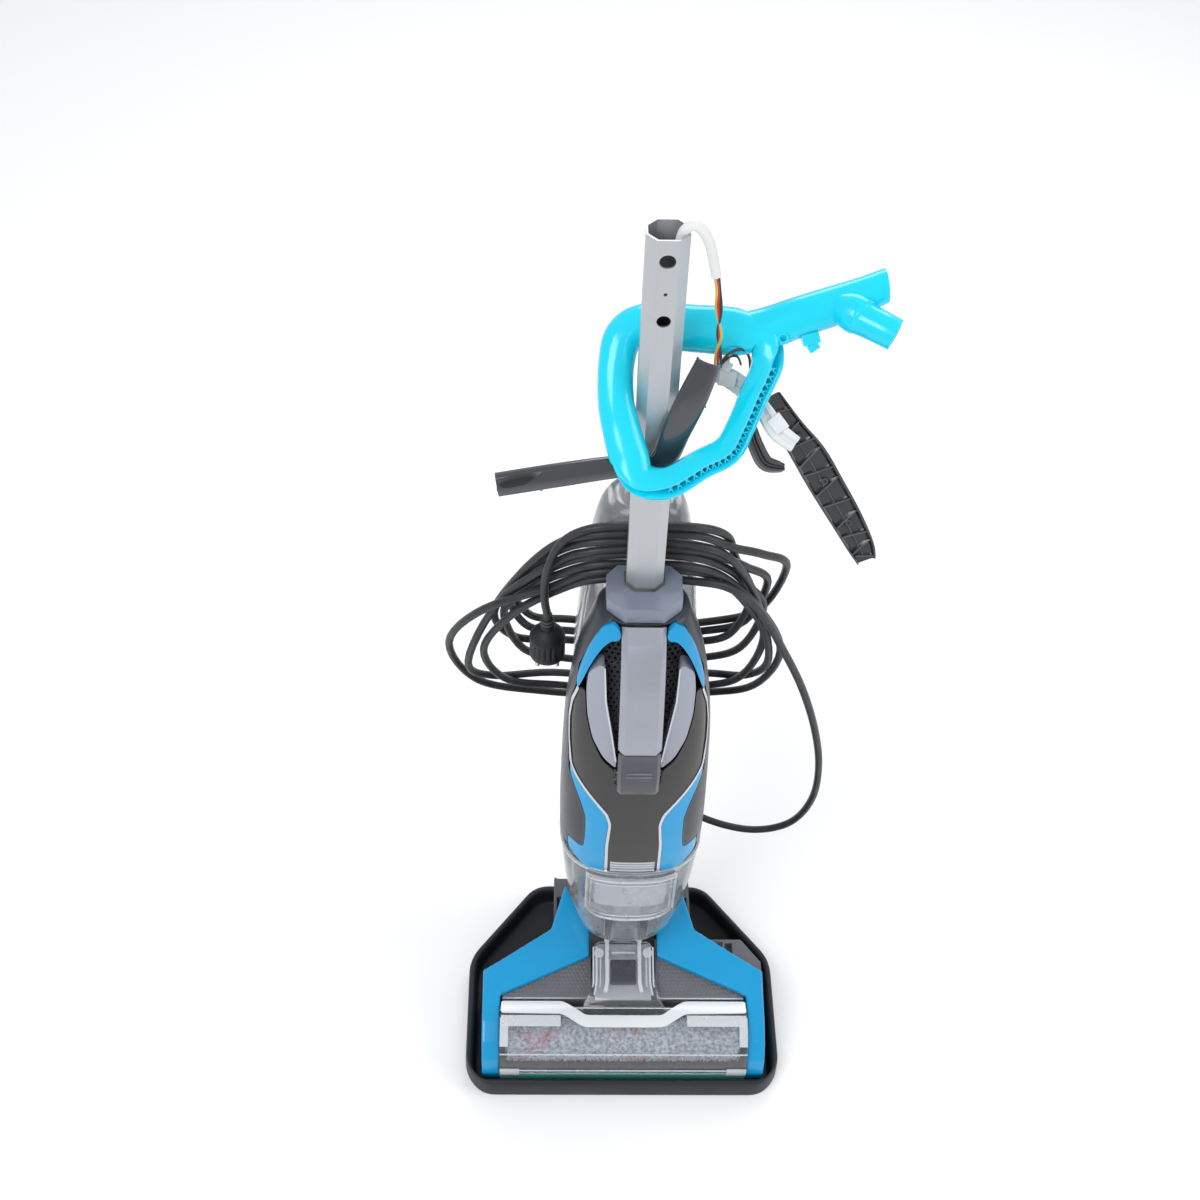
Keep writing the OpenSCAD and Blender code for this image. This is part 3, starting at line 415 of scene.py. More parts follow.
# Height, half width, front and back of the body's squarish oval section
BODY_ROWS = np.array([[112, 30, -18, 40], [125, 40, -32, 48], [141, 49, -42, 54], [168, 56, -49, 58],
    [195, 61, -54, 60], [231, 66, -58, 62], [284, 70.5, -61, 64], [340, 72, -61, 64], [390, 71.5, -57, 64],
    [450, 70, -50, 63], [493, 67.5, -41, 62], [542, 61, -28, 59], [569, 55, -20, 57], [600, 45, -10, 54],
    [612, 40, -6, 52.5]])
BODY_LINE = np.array(smooth_line(BODY_ROWS, 12))
SQUARENESS = 2.6


def body_at(z):
    """Half width, front and back of the body at a height."""
    return [float(np.interp(z, BODY_LINE[:, 0], BODY_LINE[:, k])) for k in (1, 2, 3)]


def front_y(x, z, inset=0.0):
    half, front, back = body_at(z)
    share = min(abs(x) / (half - inset), 0.9999)
    return (front + back) / 2 - ((back - front) / 2 - inset) * (1 - share ** SQUARENESS) ** (1 / SQUARENESS)


def back_y(x, z):
    half, front, back = body_at(z)
    share = min(abs(x) / half, 0.999)
    return (front + back) / 2 + (back - front) / 2 * (1 - share ** SQUARENESS) ** (1 / SQUARENESS)


def oval(half, front, back, z, turns, squareness=SQUARENESS):
    """Points of a squarish oval at the given turns, measured from +X."""
    ring = []
    for a in turns:
        c, s = math.cos(a), math.sin(a)
        ring.append((half * math.copysign(abs(c) ** (2 / squareness), c),
            (front + back) / 2 + (back - front) / 2 * math.copysign(abs(s) ** (2 / squareness), s), z))
    return ring


def edge_turn(z, x, inset):
    """Turn at which the body's front half reaches x on the right."""
    half = body_at(z)[0] - inset
    share = min(max(x / half, 0.0), 1.0) ** (SQUARENESS / 2)
    return -math.acos(share)


SHELL_EDGE = np.array([(302, 95), (304, 92), (316, 64.2), (333, 64.2), (334.5, 49.4), (355, 48), (381, 48),
    (400, 53.5), (416, 59.5), (430, 64.5), (472, 66), (493, 66), (513, 63.4), (533, 59), (553, 57),
    (575, 49.6),
    (605, 37), (612, 28)])
SHELL_WALL = 3
SHELL_FOOT, SHELL_TOP = 112, 612
OPEN_FROM = 302  # height where the opening for the vents and the shield starts
SEAM_Y = 8.6  # depth of the shell's edge beside the tank, below the opening
PAST_SIDE = 95
RING_STEPS = 90


def shell_ring(z):
    half, front, back = body_at(z)
    rounding = 2.2 * max(0, (z - SHELL_TOP + 4) / 4) ** 2
    x = float(np.interp(z, SHELL_EDGE[:, 0], SHELL_EDGE[:, 1])) if z >= OPEN_FROM else PAST_SIDE
    ring = []
    for inset in (rounding, SHELL_WALL + rounding):
        if x > half - inset:
            middle = (front + back) / 2
            start = math.asin(max(min((SEAM_Y - middle) / ((back - front) / 2 - inset), 1), -1))
            start = math.copysign(abs(math.sin(start)) ** (SQUARENESS / 2), start)
            start = math.asin(start)
        else:
            start = edge_turn(z, x, inset)
        turns = [between(start, math.pi - start, i / RING_STEPS) for i in range(RING_STEPS + 1)]
        points = oval(half - inset, front + inset, back - inset, z, turns)
        ring += points if inset == rounding else points[::-1]
    return ring


shell_heights = sorted(set([float(SHELL_FOOT)] + [float(z) for z in np.arange(SHELL_FOOT + 2, SHELL_TOP, 4)]
    + [302, 303, 304, 307, 311, 315, 332.5, 333, 333.5, 334, 334.5, 335, 336, 608, 609, 610, 611, 612]))
shell_forms = [loft([shell_ring(z) for z in shell_heights])]


def flat_plate(points, y0, y1):
    """A plate drawn as [x, z] between two depths."""
    return loft([[(x, y0, z) for x, z in points], [(x, y1, z) for x, z in points]])


def level_plate(points, z0, z1):
    """A plate drawn as [x, y] between two heights."""
    return loft([[(x, y, z0) for x, y in points], [(x, y, z1) for x, y in points]])


def box_form(x0, x1, y0, y1, z0, z1):
    return level_plate([(x0, y0), (x1, y0), (x1, y1), (x0, y1)], z0, z1)


half_turns = [math.pi * i / 40 for i in range(41)]
full_turns = [2 * math.pi * i / 80 for i in range(80)]
bottom_rim = [p for p in oval(29, -17, 39, SHELL_FOOT, half_turns) if p[1] > 9]
shell_forms.append(level_plate([(x, y) for x, y, z in bottom_rim], 112.2, 115))
shell_forms.append(level_plate([(x, y) for x, y, z in oval(37.4, -3.4, 50, 611, full_turns)], 609.2, 611.9))
shell_paint = moulding("shell_grey_blue", (0.027, 0.031, 0.042), 0.38, bump=0.04, coat=0.15, worn=0.1)
mesh_piece("rear_shell_skin", shell_forms, "upright", shell_paint, ["rear_shell"])

# Louvres, screw posts and a blank label plate on the shell's back
back_forms = []
for k in range(7):
    z = 388 + 9 * k
    for x0, x1 in ((-52, -31), (31, 52)):
        row = []
        for x in np.linspace(x0, x1, 9):
            y = back_y(x, z)
            row.append([(x, y - 1.5, z - 2), (x, y + 0.2, z - 2.4), (x, y + 1.9, z - 1),
                (x, y + 0.1, z + 2.6),
                (x, y - 1.5, z + 2.4)])
        back_forms.append(loft(row))
louvre_plastic = moulding("louvre_black", (0.02, 0.022, 0.026), 0.5)
mesh_piece("shell_louvres", back_forms, "upright", louvre_plastic)
label_foil = moulding("label_foil", (0.5, 0.52, 0.55), 0.35, metallic=0.4, bump=0.02)
label_rows = [[(x, back_y(x, z) + out, z) for out, z in ((-1, 172), (0.2, 172), (0.3, 180), (0.3, 190),
    (0.3, 200),
    (0.2, 208), (-1, 208))] for x in np.linspace(-25, 25, 21)]
mesh_piece("blank_label", [loft(label_rows)], "upright", label_foil)
screw_steel = moulding("screw_steel", (0.45, 0.45, 0.46), 0.35, metallic=1.0, bump=0.03)


def screw_head(at, axis, radius=3.2):
    """A domed cross-slot screw, with the slot as a sunken star."""
    axis, first, second = across_axis(axis)
    rings = []
    for r, h, star in ((1, -1.5, 0), (1, 0.5, 0), (0.86, 1.1, 0), (0.6, 1.35, 0), (0.5, 1.4, 0.0),
            (0.42, 0.5, 0.5),
            (0.05, 0.4, 0)):
        ring = []
        for i in range(32):
            turn = 2 * math.pi * i / 32
            reach = r * (1 - star * (0.5 - 0.5 * math.cos(4 * turn)))
            sideways = first * math.cos(turn) + second * math.sin(turn)
            ring.append(Vector(at) + axis * h + sideways * reach * radius)
        rings.append(ring)
    return loft(rings)


shell_screws = [screw_head((x, body_at(z)[2] - d, z), (0, 1, 0)) for x, z, d in
    ((-40, 150, 5.5), (40, 150, 5.5), (-30, 560, 3.2), (30, 560, 3.2), (-48, 345, 3.3), (48, 345, 3.3))]
mesh_piece("shell_screws", shell_screws, "upright", screw_steel)

# ---------------------------------------------------------------- front panels
# Thin moulded panels that follow the body's rounded front. Each is a skin drawn in front view as [x, z].


def rounded(outline, radius, steps=4):
    """The closed outline with its corners cut to arcs."""
    points = [np.array(p, float) for p in outline]
    result = []
    for i, corner in enumerate(points):
        to_last, to_next = points[i - 1] - corner, points[(i + 1) % len(points)] - corner
        last_len, next_len = np.linalg.norm(to_last), np.linalg.norm(to_next)
        reach = min(radius, last_len * 0.48, next_len * 0.48)
        a, b = corner + to_last / last_len * reach, corner + to_next / next_len * reach
        for k in range(steps + 1):
            f = k / steps
            result.append((1 - f) ** 2 * a + 2 * f * (1 - f) * corner + f ** 2 * b)
    return [tuple(p) for p in result]


def mirrored(half):
    """A whole outline from its right half, when both ends lie on the middle line."""
    return list(half) + [(-x, z) for x, z in reversed(half) if x > 0.001]


def surface_panel(name, outlines, surface, thickness, step, body, look, replaces=(), edge=0.5,
        sharp=38):
    """Panels cut from a surface. The surface turns a drawn point and a depth into a point in space."""
    form = bmesh.new()
    for outline in outlines:
        cut = bmesh.new()
        cut.faces.new([cut.verts.new((u, v, 0)) for u, v in outline])
        us, vs = [p[0] for p in outline], [p[1] for p in outline]
        for k, low, high in ((0, min(us), max(us)), (1, min(vs), max(vs))):
            for at in np.arange(math.ceil(low / step) * step, high, step):
                plane = [0, 0, 0]
                plane[k] = 1
                bmesh.ops.bisect_plane(cut, geom=cut.verts[:] + cut.edges[:] + cut.faces[:], dist=1e-4,
                    plane_co=[c * float(at) for c in plane], plane_no=plane)
        near = {v: form.verts.new(Vector(surface(v.co.x, v.co.y, 0)) * MM) for v in cut.verts}
        far = {v: form.verts.new(Vector(surface(v.co.x, v.co.y, thickness)) * MM) for v in cut.verts}
        for f in cut.faces:
            form.faces.new([near[v] for v in f.verts])
            form.faces.new([far[v] for v in reversed(f.verts)])
        for e in cut.edges:
            if len(e.link_faces) == 1:
                form.faces.new([near[e.verts[0]], near[e.verts[1]], far[e.verts[1]], far[e.verts[0]]])
        cut.free()
    mesh = bpy.data.meshes.new(name)
    form.to_mesh(mesh)
    form.free()
    obj = finish_piece(bpy.data.objects.new(name, mesh), body, look, replaces, sharp)
    if edge:
        soften(obj, edge)
    return obj


def soften(obj, width, segments=2, angle=40):
    """Rounds every edge sharper than the angle."""
    bevel = obj.modifiers.new("rounded_edges", "BEVEL")
    bevel.width = width * MM
    bevel.segments = segments
    bevel.limit_method = "ANGLE"
    bevel.angle_limit = math.radians(angle)
    bevel.harden_normals = False
    return obj


def on_front(inset):
    def surface(x, z, depth):
        return (x, front_y(x, z, inset) + depth, z)
    return surface


def both(outline):
    return [outline, [(-x, z) for x, z in reversed(outline)]]


SHIELD_EDGE = [(24.5, 304), (24.5, 348), (22.5, 380), (26, 394), (35, 406), (46, 420), (56, 433), (61.5, 443),
    (64, 472), (64, 493), (61.6, 513), (56.4, 532)]
SHIELD_INSIDE = [(51, 535), (49.8, 511), (44.4, 487), (34, 465), (22, 454), (22, 436), (0, 436)]
shield_plastic = moulding("shield_black", (0.032, 0.03, 0.03), 0.3, bump=0.02, coat=0.25, worn=0.08)
shield_outline = [(0, 304)] + rounded([(0, 304)] + SHIELD_EDGE + SHIELD_INSIDE, 5)[5:-5] + [(0, 436)]
surface_panel("tank_shield_panel", [mirrored(shield_outline)], on_front(0), 2.4, 4, "recovery",
    shield_plastic, ["tank_shield"], 0.7)

# Silver borders between the shield and the cyan flanks
TRIM_OUTLINE = [(24.5, 302.8), (27.6, 302.8), (27.6, 348), (25.4, 379), (28.6, 391.6), (37, 403.6),
    (48, 417.6),
    (58.4, 431), (64, 442), (65.4, 472), (65.4, 493), (63, 513), (57.8, 532.6), (56.6, 532.2), (61.9, 513),
    (64.3, 493), (64.3, 472), (61.8, 442.7), (56.3, 432.8), (46.3, 419.8), (35.3, 405.8), (26.3, 393.8),
    (22.8, 380), (24.8, 348)]
silver_paint = moulding("silver_paint", (0.58, 0.6, 0.65), 0.24, metallic=0.65, bump=0.03, coat=0.4, worn=0.1)
surface_panel("tank_trim_bands", both(rounded(TRIM_OUTLINE, 4)), on_front(-0.7), 3, 4, "recovery",
    silver_paint, ["tank_trim"], 0.6)

# Glossy cyan flanks beside the shield's lower panel
CYAN_OUTLINE = [(27.9, 302.8), (44, 300.6), (63.6, 316), (63.6, 333.6), (49, 332.4), (47.4, 355), (47.4, 381),
    (52.8, 400.4), (58.8, 416.4), (63.2, 429), (63.4, 439.4), (58.7, 430.8), (48.3, 417.4), (37.3, 403.4),
    (28.9, 391.4), (25.7, 379), (27.9, 348)]
cyan_gloss = moulding("cyan_gloss", (0.0, 0.3, 0.61), 0.22, bump=0.01, coat=0.3, shift=0.05, spread=0.08,
    worn=0.04)
surface_panel("tank_flank_panels", both(rounded(CYAN_OUTLINE, 5)), on_front(-0.2), 2.6, 4, "recovery",
    cyan_gloss, ["tank_flanks"], 0.9)

def front_strip(line, proud, root, flare=0.0):
    """A bar across the front, from rows of x, the height it is fitted at, and its lower and upper edge."""
    return loft([[(x, front_y(x, z) - proud, low), (x, front_y(x, z) - proud, high),
        (x, front_y(x, z) - root, high + flare), (x, front_y(x, z) - root, low - flare)] for x, z, low,
        high in line])


# Louvre and pale bars at the shield's lower end, with a thin white line under them
louvre_forms = []
for z, tall, proud in ((308.4, 2.2, 1.6), (312.6, 1.6, 1.0), (316.4, 1.6, 1.0), (320, 1.4, 0.8)):
    louvre_forms.append(front_strip([(x, z, z - tall / 2, z + tall / 2) for x in np.linspace(-22, 22, 15)],
        proud, -1, 0.6))
mesh_piece("shield_louvres", louvre_forms, "recovery", silver_paint)
surface_panel("shield_foot_bar", [rounded([(-44, 300.2), (44, 300.2), (44.5, 302.3), (24, 304.4),
    (-24, 304.4),
    (-44.5, 302.3)], 1)], on_front(-1.2), 3.4, 4, "recovery", silver_paint, (), 0.5)

# Cyan shoulder arcs over the vents, each thick beside the handle and drawn out to a point
SHOULDER_OUTLINE = [(20.4, 601), (22.4, 607.6), (28, 610.2), (36.4, 604), (44, 589), (49.6, 574.5), (55, 556),
    (58.4, 540), (58.6, 533), (56.6, 535), (54, 543), (48.8, 559), (42.6, 574), (35.5, 587), (29, 594.6),
    (22.4, 596)]
surface_panel("shoulder_arcs", both(rounded(SHOULDER_OUTLINE, 6)), on_front(-1.0), 5, 3, "upright",
    cyan_gloss, ["shoulder_trims"], 1.4)

# Pale crescents that frame the vents
FLANK_OUTLINE = [(39, 566), (48.2, 555), (50, 536), (48.7, 511.5), (43.4, 487.5), (33, 468), (21, 457),
    (21, 466),
    (25.4, 493.6), (32.4, 532), (34, 567)]
flank_paint = moulding("lilac_grey", (0.33, 0.35, 0.41), 0.34, metallic=0.3, bump=0.015, coat=0.25, worn=0.1)
surface_panel("vent_crescents", both(rounded(FLANK_OUTLINE, 5)), on_front(0.6), 14, 3, "upright",
    flank_paint, ["vent_flanks"], 1.2)
CRESCENT_EDGE = [(33.2, 566), (34.6, 566), (33.2, 532), (26.4, 494), (22, 466), (20.6, 466), (24.8, 494),
    (31.4, 532)]
surface_panel("crescent_lips", both(rounded(CRESCENT_EDGE, 1)), on_front(-0.4), 5, 3, "upright",
    silver_paint, (), 0.3)

# ---------------------------------------------------------------- vent grille
# Black moulded mesh sunk behind the crescents, with staggered round holes and the motor's bay behind it.

GRILLE_INSET, GRILLE_T = 15, 2
HOLE_X, HOLE_Z, HOLE_R = 5.4, 4.7, 1.75


def grille_cell(x, z):
    """One square of mesh with a round hole, front and back faces and the hole's wall."""
    points, faces = [], []
    for depth in (0, GRILLE_T):
        for ring in range(2):
            for i in range(12):
                turn = 2 * math.pi * i / 12 + math.pi / 12
                c, s = math.cos(turn), math.sin(turn)
                reach = HOLE_R if ring else 1 / max(abs(c) / (HOLE_X / 2), abs(s) / (HOLE_Z / 2))
                px, pz = x + c * reach, z + s * reach
                points.append((px, front_y(px, pz) + GRILLE_INSET + depth, pz))
    for i in range(12):
        j = (i + 1) % 12
        faces.append((i, j, 12 + j, 12 + i))
        faces.append((24 + j, 24 + i, 36 + i, 36 + j))
        faces.append((12 + i, 12 + j, 36 + j, 36 + i))
    return points, faces


grille_cells = []
for row in range(33):
    z = 448 + HOLE_Z * row
    reach = float(np.interp(z, (444, 466, 494, 532, 569, 572, 596, 600), (20, 22, 27, 34, 36, 39, 30, 20)))
    for column in range(-8, 9):
        x = (column + 0.5 * (row % 2)) * HOLE_X
        if abs(x) < reach:
            grille_cells.append(grille_cell(x, z))
grille_black = moulding("mesh_black", (0.022, 0.023, 0.027), 0.55)
mesh_piece("vent_mesh", grille_cells, "upright", grille_black, ["vent_grille"])

# ---------------------------------------------------------------- carry handle and tank release
# Silver-grey grip bar with bevelled sides, moulded with the body; the dark button under it frees the tank.

CARRY_W = 40
CARRY_FRONT = [(-7, 611), (-24, 590), (-38, 562), (-48, 530), (-57, 500), (-57.6, 491)]
CARRY_BACK = [(3, 602), (-13, 586), (-26, 560), (-36, 530), (-43, 500), (-43, 491)]
front_line = smooth_line([(*p, 0) for p in CARRY_FRONT], 8)
back_line = smooth_line([(*p, 0) for p in CARRY_BACK], 8)
carry_rings = []
for front, back in zip(front_line, back_line):
    half, slope = CARRY_W / 2, 5.5
    ring = []
    for x, depth in ((-half + slope, 0), (-half + slope - 1.2, 0.06), (-half + 0.6, 0.38), (-half, 0.46),
            (-half, 0.86),
            (-half + 1.5, 1), (half - 1.5, 1), (half, 0.86), (half, 0.46), (half - 0.6, 0.38),
            (half - slope + 1.2, 0.06), (half - slope, 0)):
        ring.append((x, between(front[0], back[0], depth), between(front[1], back[1], depth)))
    carry_rings.append(ring)
mesh_piece("carry_bar", [loft(carry_rings)], "upright",
    moulding("carry_silver", (0.33, 0.345, 0.4), 0.3, metallic=0.35, bump=0.015, coat=0.3, worn=0.15),
    ["carry_handle"], sharp=30)

release_rings = []
for z, front, narrow in ((437.6, -62.4, 1.4), (439, -63.8, 0.5), (445, -64.2, 0.3), (462, -62.2, 0.2),
        (478, -60.2, 0.2),
        (486, -59.4, 0.3), (488.4, -58.6, 0.6), (489.4, -57.2, 1.6)):
    half = CARRY_W / 2 - narrow
    ring = [(-half + 4.5, front), (-half + 3, front + 0.3), (-half + 0.5, front + 3), (-half, front + 4),
        (-half, -53.5),
        (half, -53.5), (half, front + 4), (half - 0.5, front + 3), (half - 3, front + 0.3),
        (half - 4.5, front)]
    release_rings.append([(x, y, z) for x, y in ring])
release_grips = [loft([[(x, -61.6 + 0.12 * (k - 3) - 0.9, 448 + 5 * k - 0.8),
    (x, -61.6 + 0.12 * (k - 3) - 0.9, 448 + 5 * k + 0.8),
    (x, -59, 448 + 5 * k + 1.4), (x, -59, 448 + 5 * k - 1.4)] for x in (-12, 12)]) for k in range(5)]
mesh_piece("release_button", [loft(release_rings), *release_grips], "tank_release",
    moulding("button_grey", (0.06, 0.064, 0.078), 0.34, coat=0.2), ["tank_release"], sharp=30)

# ---------------------------------------------------------------- collar
# Pale grey-blue sleeve with cut corners that the tube slides into, clipped on top of the shell.


def from_cad(name, node, body, look, bevel=0.8, segments=3, angle=40, voxel=0.0, rounds=0, sharp=35):
    """A finished copy of a CAD node: rounded edges, or a fine skin relaxed until its edges are soft."""
    mesh = NODES[node].data.copy()
    mesh.name = name
    obj = finish_piece(bpy.data.objects.new(name, mesh), body, look, [node], None if voxel else sharp)
    if voxel:
        skin = obj.modifiers.new("skin", "REMESH")
        skin.mode = "VOXEL"
        skin.voxel_size = voxel * MM
        skin.use_smooth_shade = True
        relax = obj.modifiers.new("relax", "SMOOTH")
        relax.factor = 0.5
        relax.iterations = rounds
    elif bevel:
        soften(obj, bevel, segments, angle)
    return obj


collar_plastic = moulding("collar_blue_grey", (0.2, 0.225, 0.29), 0.36, metallic=0.15, coat=0.25, worn=0.15)
from_cad("collar_sleeve", "tube_collar", "upright", collar_plastic, bevel=1.6, segments=4)
TUBE_Y = 35
tube_ring = [(16.5, -6), (16.5, 6), (8.5, 14), (-8.5, 14), (-16.5, 6), (-16.5, -6), (-8.5, -14), (8.5, -14)]
collar_gasket = loft([[(x * grow, TUBE_Y + y * grow, z) for x, y in tube_ring] for grow, z in
    ((1.02, 628), (1.02, 631.4), (1.09, 631.4), (1.09, 628))], closed=True)
mesh_piece("collar_gasket", [collar_gasket], "upright", plug_rubber)

# ---------------------------------------------------------------- dirty water tank
# Clear moulded tank that narrows downwards, with an inlet pipe inside. The shield is clipped on its front.


def clear_moulding(name, tint, roughness=0.06, haze=0.0):
    """Clear plastic with slow waviness and faint clouding; the haze is its share of milky white."""
    look, tree, shader = new_look(name, Transmission_Weight=1.0, Metallic=0.0, IOR=1.42)
    shade = add_grain(tree, shader, (tint, [min(c * 1.05, 1) for c in tint]), (0.35, 0.7),
        (roughness * 0.5, roughness * 1.6), 60, 22, 0.03, 0.0006)
    wire(tree, (shade, "Result", shader, "Base Color"))
    if haze:
        milk = add_node(tree, "ShaderNodeBsdfDiffuse", Color=(0.85, 0.88, 0.93, 1))
        mixer = add_node(tree, "ShaderNodeMixShader", Fac=haze)
        wire(tree, (shader, "BSDF", mixer, 1), (milk, "BSDF", mixer, 2),
            (mixer, "Shader", tree.nodes["Material Output"], "Surface"))
    return look


tank_clear = clear_moulding("tank_clear", (0.93, 0.955, 0.98), haze=0.06)
tank_rims = clear_moulding("tank_frosted", (0.95, 0.97, 1.0), 0.3, haze=0.6)
BULKHEAD_Y, TANK_GAP, CHAMBER_HALF, TANK_WALL = 8, 0.3, 44, 2.5


def tank_ring(z, inset):
    """The body's front part, cut flat just in front of the bulkhead."""
    half, front, back = body_at(z)
    flat = BULKHEAD_Y - inset
    middle, depth = (front + back) / 2, (back - front) / 2 - inset - TANK_GAP
    rise = max(min((flat - middle) / depth, 0.999), -0.999)
    start = math.asin(math.copysign(abs(rise) ** (SQUARENESS / 2), rise))
    turns = [between(start, -math.pi - start, i / 64) for i in range(65)]
    return oval(half - TANK_GAP - inset, middle - depth, middle + depth, z, turns)


def high_ring(z, inset):
    """The upper chamber behind the shield."""
    half = CHAMBER_HALF - inset
    xs = [half * math.sin(math.pi / 2 * (1 - i / 32)) for i in range(65)]
    return [(xs[0], BULKHEAD_Y - inset, z)] + [(x, front_y(x, z, 3) + inset, z)
        for x in xs[1:-1]] + [(xs[-1], BULKHEAD_Y - inset, z)]


def lining(rings):
    """The inner skin of a hollow piece, its faces turned to look inwards."""
    points, faces = loft(rings)
    return points, [face[::-1] for face in faces]


tank_outer = [tank_ring(z, 0) for z in (112.4, 115, *range(120, 297, 6), 299)] + [high_ring(z, 0)
    for z in (301, 340, 380, 428)]
tank_inner = [tank_ring(z, TANK_WALL) for z in (115, *range(120, 292, 6), 296)] + [high_ring(z, TANK_WALL)
    for z in (304, 340, 380, 425)]
mesh_piece("dirty_tank", [loft(tank_outer), lining(tank_inner)],
    "recovery", tank_clear, ["recovery_tank"], sharp=50)

# Inlet pipe, side webs and the frosted rim round the bottom of the tank
pipe_rows = [(-12, 122), (-14, 150), (-17, 190), (-18, 240), (-17, 290), (-14, 330)]
inlet_forms = [loft([[(x * 12, y + w * 9, z) for x, w in ((math.cos(a), math.sin(a))
    for a in full_turns[::4])]
    for y, z in pipe_rows])]
for side in (-1, 1):
    inlet_forms.append(box_form(side * 20 - 0.8, side * 20 + 0.8, -30, 4, 150, 214))
mesh_piece("tank_inlet", inlet_forms, "recovery", tank_rims)
rim_forms = []
for z, out in ((298.6, 0.9), (119, 0.6)):
    ring_a = [Vector(p) for p in tank_ring(z, 0)]
    middle = Vector((0, 8, z))
    rows = []
    for grow, up in ((out, -1), (out, 1), (-1.5, 1.2), (-1.5, -1.2)):
        rows.append([p + (p - middle).normalized() * grow + Vector((0, 0, up)) for p in ring_a])
    rim_forms.append(loft([[row[i] for row in rows] for i in range(len(ring_a))]))
mesh_piece("tank_rim_lines", rim_forms, "recovery", tank_rims)
from_cad("tank_float_ball", "tank_float", "recovery",
    moulding("float_red", (0.5, 0.03, 0.025), 0.35), bevel=1.5)

# ---------------------------------------------------------------- pouring lip
# Clear visor proud of the tank, with a doubled pale rim, curved lower edge and a frosted plate behind it.

lip_clear = clear_moulding("lip_clear", (0.95, 0.97, 0.99), haze=0.1)
LIP_HALF = 44
LIP_OUTLINE = [(0, 219), (18, 220), (34, 223.5), (43.4, 229), (44.6, 240), (44.6, 298.4), (0, 299)]
lip_half = rounded(LIP_OUTLINE, 4)
lip_half = [(0, 219)] + [p for p in lip_half if p[0] > 0.5] + [(0, 299)]
surface_panel("lip_visor", [mirrored(lip_half)], on_front(-7.6), 2.2, 3, "recovery", lip_clear,
    ["tank_lip"], 0.6)
lip_strips = []
for x0, z0, x1, z1, width, proud in ((44, 298, 44, 232, 1.3, 8.4), (40, 296, 40, 236, 0.9, 8.1)):
    for side in (-1, 1):
        lip_strips.append(loft([[(side * (x0 - width), front_y(x0, z) - proud, z), (side * (x0 + width),
            front_y(x0, z) - proud, z), (side * (x0 + width), front_y(x0, z) - 4, z), (side * (x0 - width),
            front_y(x0, z) - 4, z)] for z in np.linspace(z1, z0, 20)]))
for height, width, proud, reach in ((221.6, 1.6, 8.6, 43), (229, 0.9, 8.2, 39), (296.6, 1.3, 8.6, 44),
        (290, 0.8, 8.2, 40)):
    drop = 7.5 if height < 260 else 0
    curve = [(x, height + drop * (x / LIP_HALF) ** 4) for x in np.linspace(-reach, reach, 31)]
    lip_strips.append(front_strip([(x, height, z - width, z + width) for x, z in curve], proud, 4.5))
mesh_piece("lip_rims", lip_strips, "recovery", tank_rims)
lip_sides = []
for side in (-1, 1):
    lip_sides.append(loft([[(side * 43.6, front_y(43.6, z) - 6.4, z),
        (side * 43.6, front_y(43.6, z) + 0.4, z),
        (side * 42, front_y(42, z) + 0.4, z), (side * 42, front_y(42, z) - 6, z)]
        for z in np.linspace(232, 297, 18)]))
lip_sides.append(front_strip([(x, 295, 294, 296.5) for x in np.linspace(-43, 43, 31)], 6.4, -0.6))
mesh_piece("lip_walls", lip_sides, "recovery", lip_clear)
plate_outline = rounded([(-35, 240), (35, 240), (36, 246), (36, 288), (-36, 288), (-36, 246)], 4)
surface_panel("lip_plate", [plate_outline], on_front(-1.6), 1.2, 4, "recovery", tank_rims, (), 0.4)

# ---------------------------------------------------------------- storage tray
# Thick black moulded tray with a soft rounded rim that the machine is parked and rinsed in.

TRAY_OUTER = [(-152, -150), (-171, -126), (-171, 5), (-98, 102), (98, 102), (171, 5), (171, -126),
    (152, -150)]
TRAY_INNER = [(-154, -141), (-162, -131), (-162, 2), (-94, 93), (94, 93), (162, 2), (162, -131), (154, -141)]
tray_rings = []
for share, z in ((0.12, 0), (0.02, 0.6), (-0.02, 2), (0, 12), (0.03, 20), (0.12, 23.8), (0.28, 25.6),
        (0.46, 26),
        (0.68, 25.4), (0.86, 23.4), (0.94, 19), (0.98, 9), (1.06, 5), (1.3, 3.2)):
    outline = [tuple(between(np.array(a, float), np.array(b, float), share)) for a,
        b in zip(TRAY_OUTER, TRAY_INNER)]
    tray_rings.append([(x, y, z) for x, y in rounded(outline, 16, 6)])
tray_forms = [loft(tray_rings)]
for k in range(9):
    x = -120 + 30 * k
    tray_forms.append(box_form(x - 1.2, x + 1.2, -136, -76, 3, 4.4))
tray_plastic = moulding("tray_black", (0.013, 0.014, 0.018), 0.48, grain_scale=1500, bump=0.14, spread=0.2,
    shift=0.25,
    worn=0.06)
mesh_piece("tray_shell", tray_forms, "tray", tray_plastic, ["tray"], sharp=50)
rack_plastic = moulding("rack_grey", (0.15, 0.155, 0.175), 0.5, grain_scale=1200, bump=0.12)
from_cad("drying_rack", "brush_rack", "tray", rack_plastic, bevel=1.4)

# ---------------------------------------------------------------- foot arms
# Glossy cyan arms that sweep from the neck to the brush's ends, with soft edges and a long highlight.

for side_name in ("left", "right"):
    from_cad("foot_arm_" + side_name, "arm_" + side_name, "foot", cyan_gloss, voxel=1.1, rounds=9)

# ---------------------------------------------------------------- dimpled foot cover
# Dark satin cover between the arms, moulded with rows of raised dimples and a smooth front strip.

ARM_TOP = np.array([(-75, 78), (-71, 79), (-46, 86), (-30, 91), (-4, 101), (44, 120)], float)


def cover_z(y):
    return float(np.interp(y, ARM_TOP[:, 0], ARM_TOP[:, 1])) - 7.25


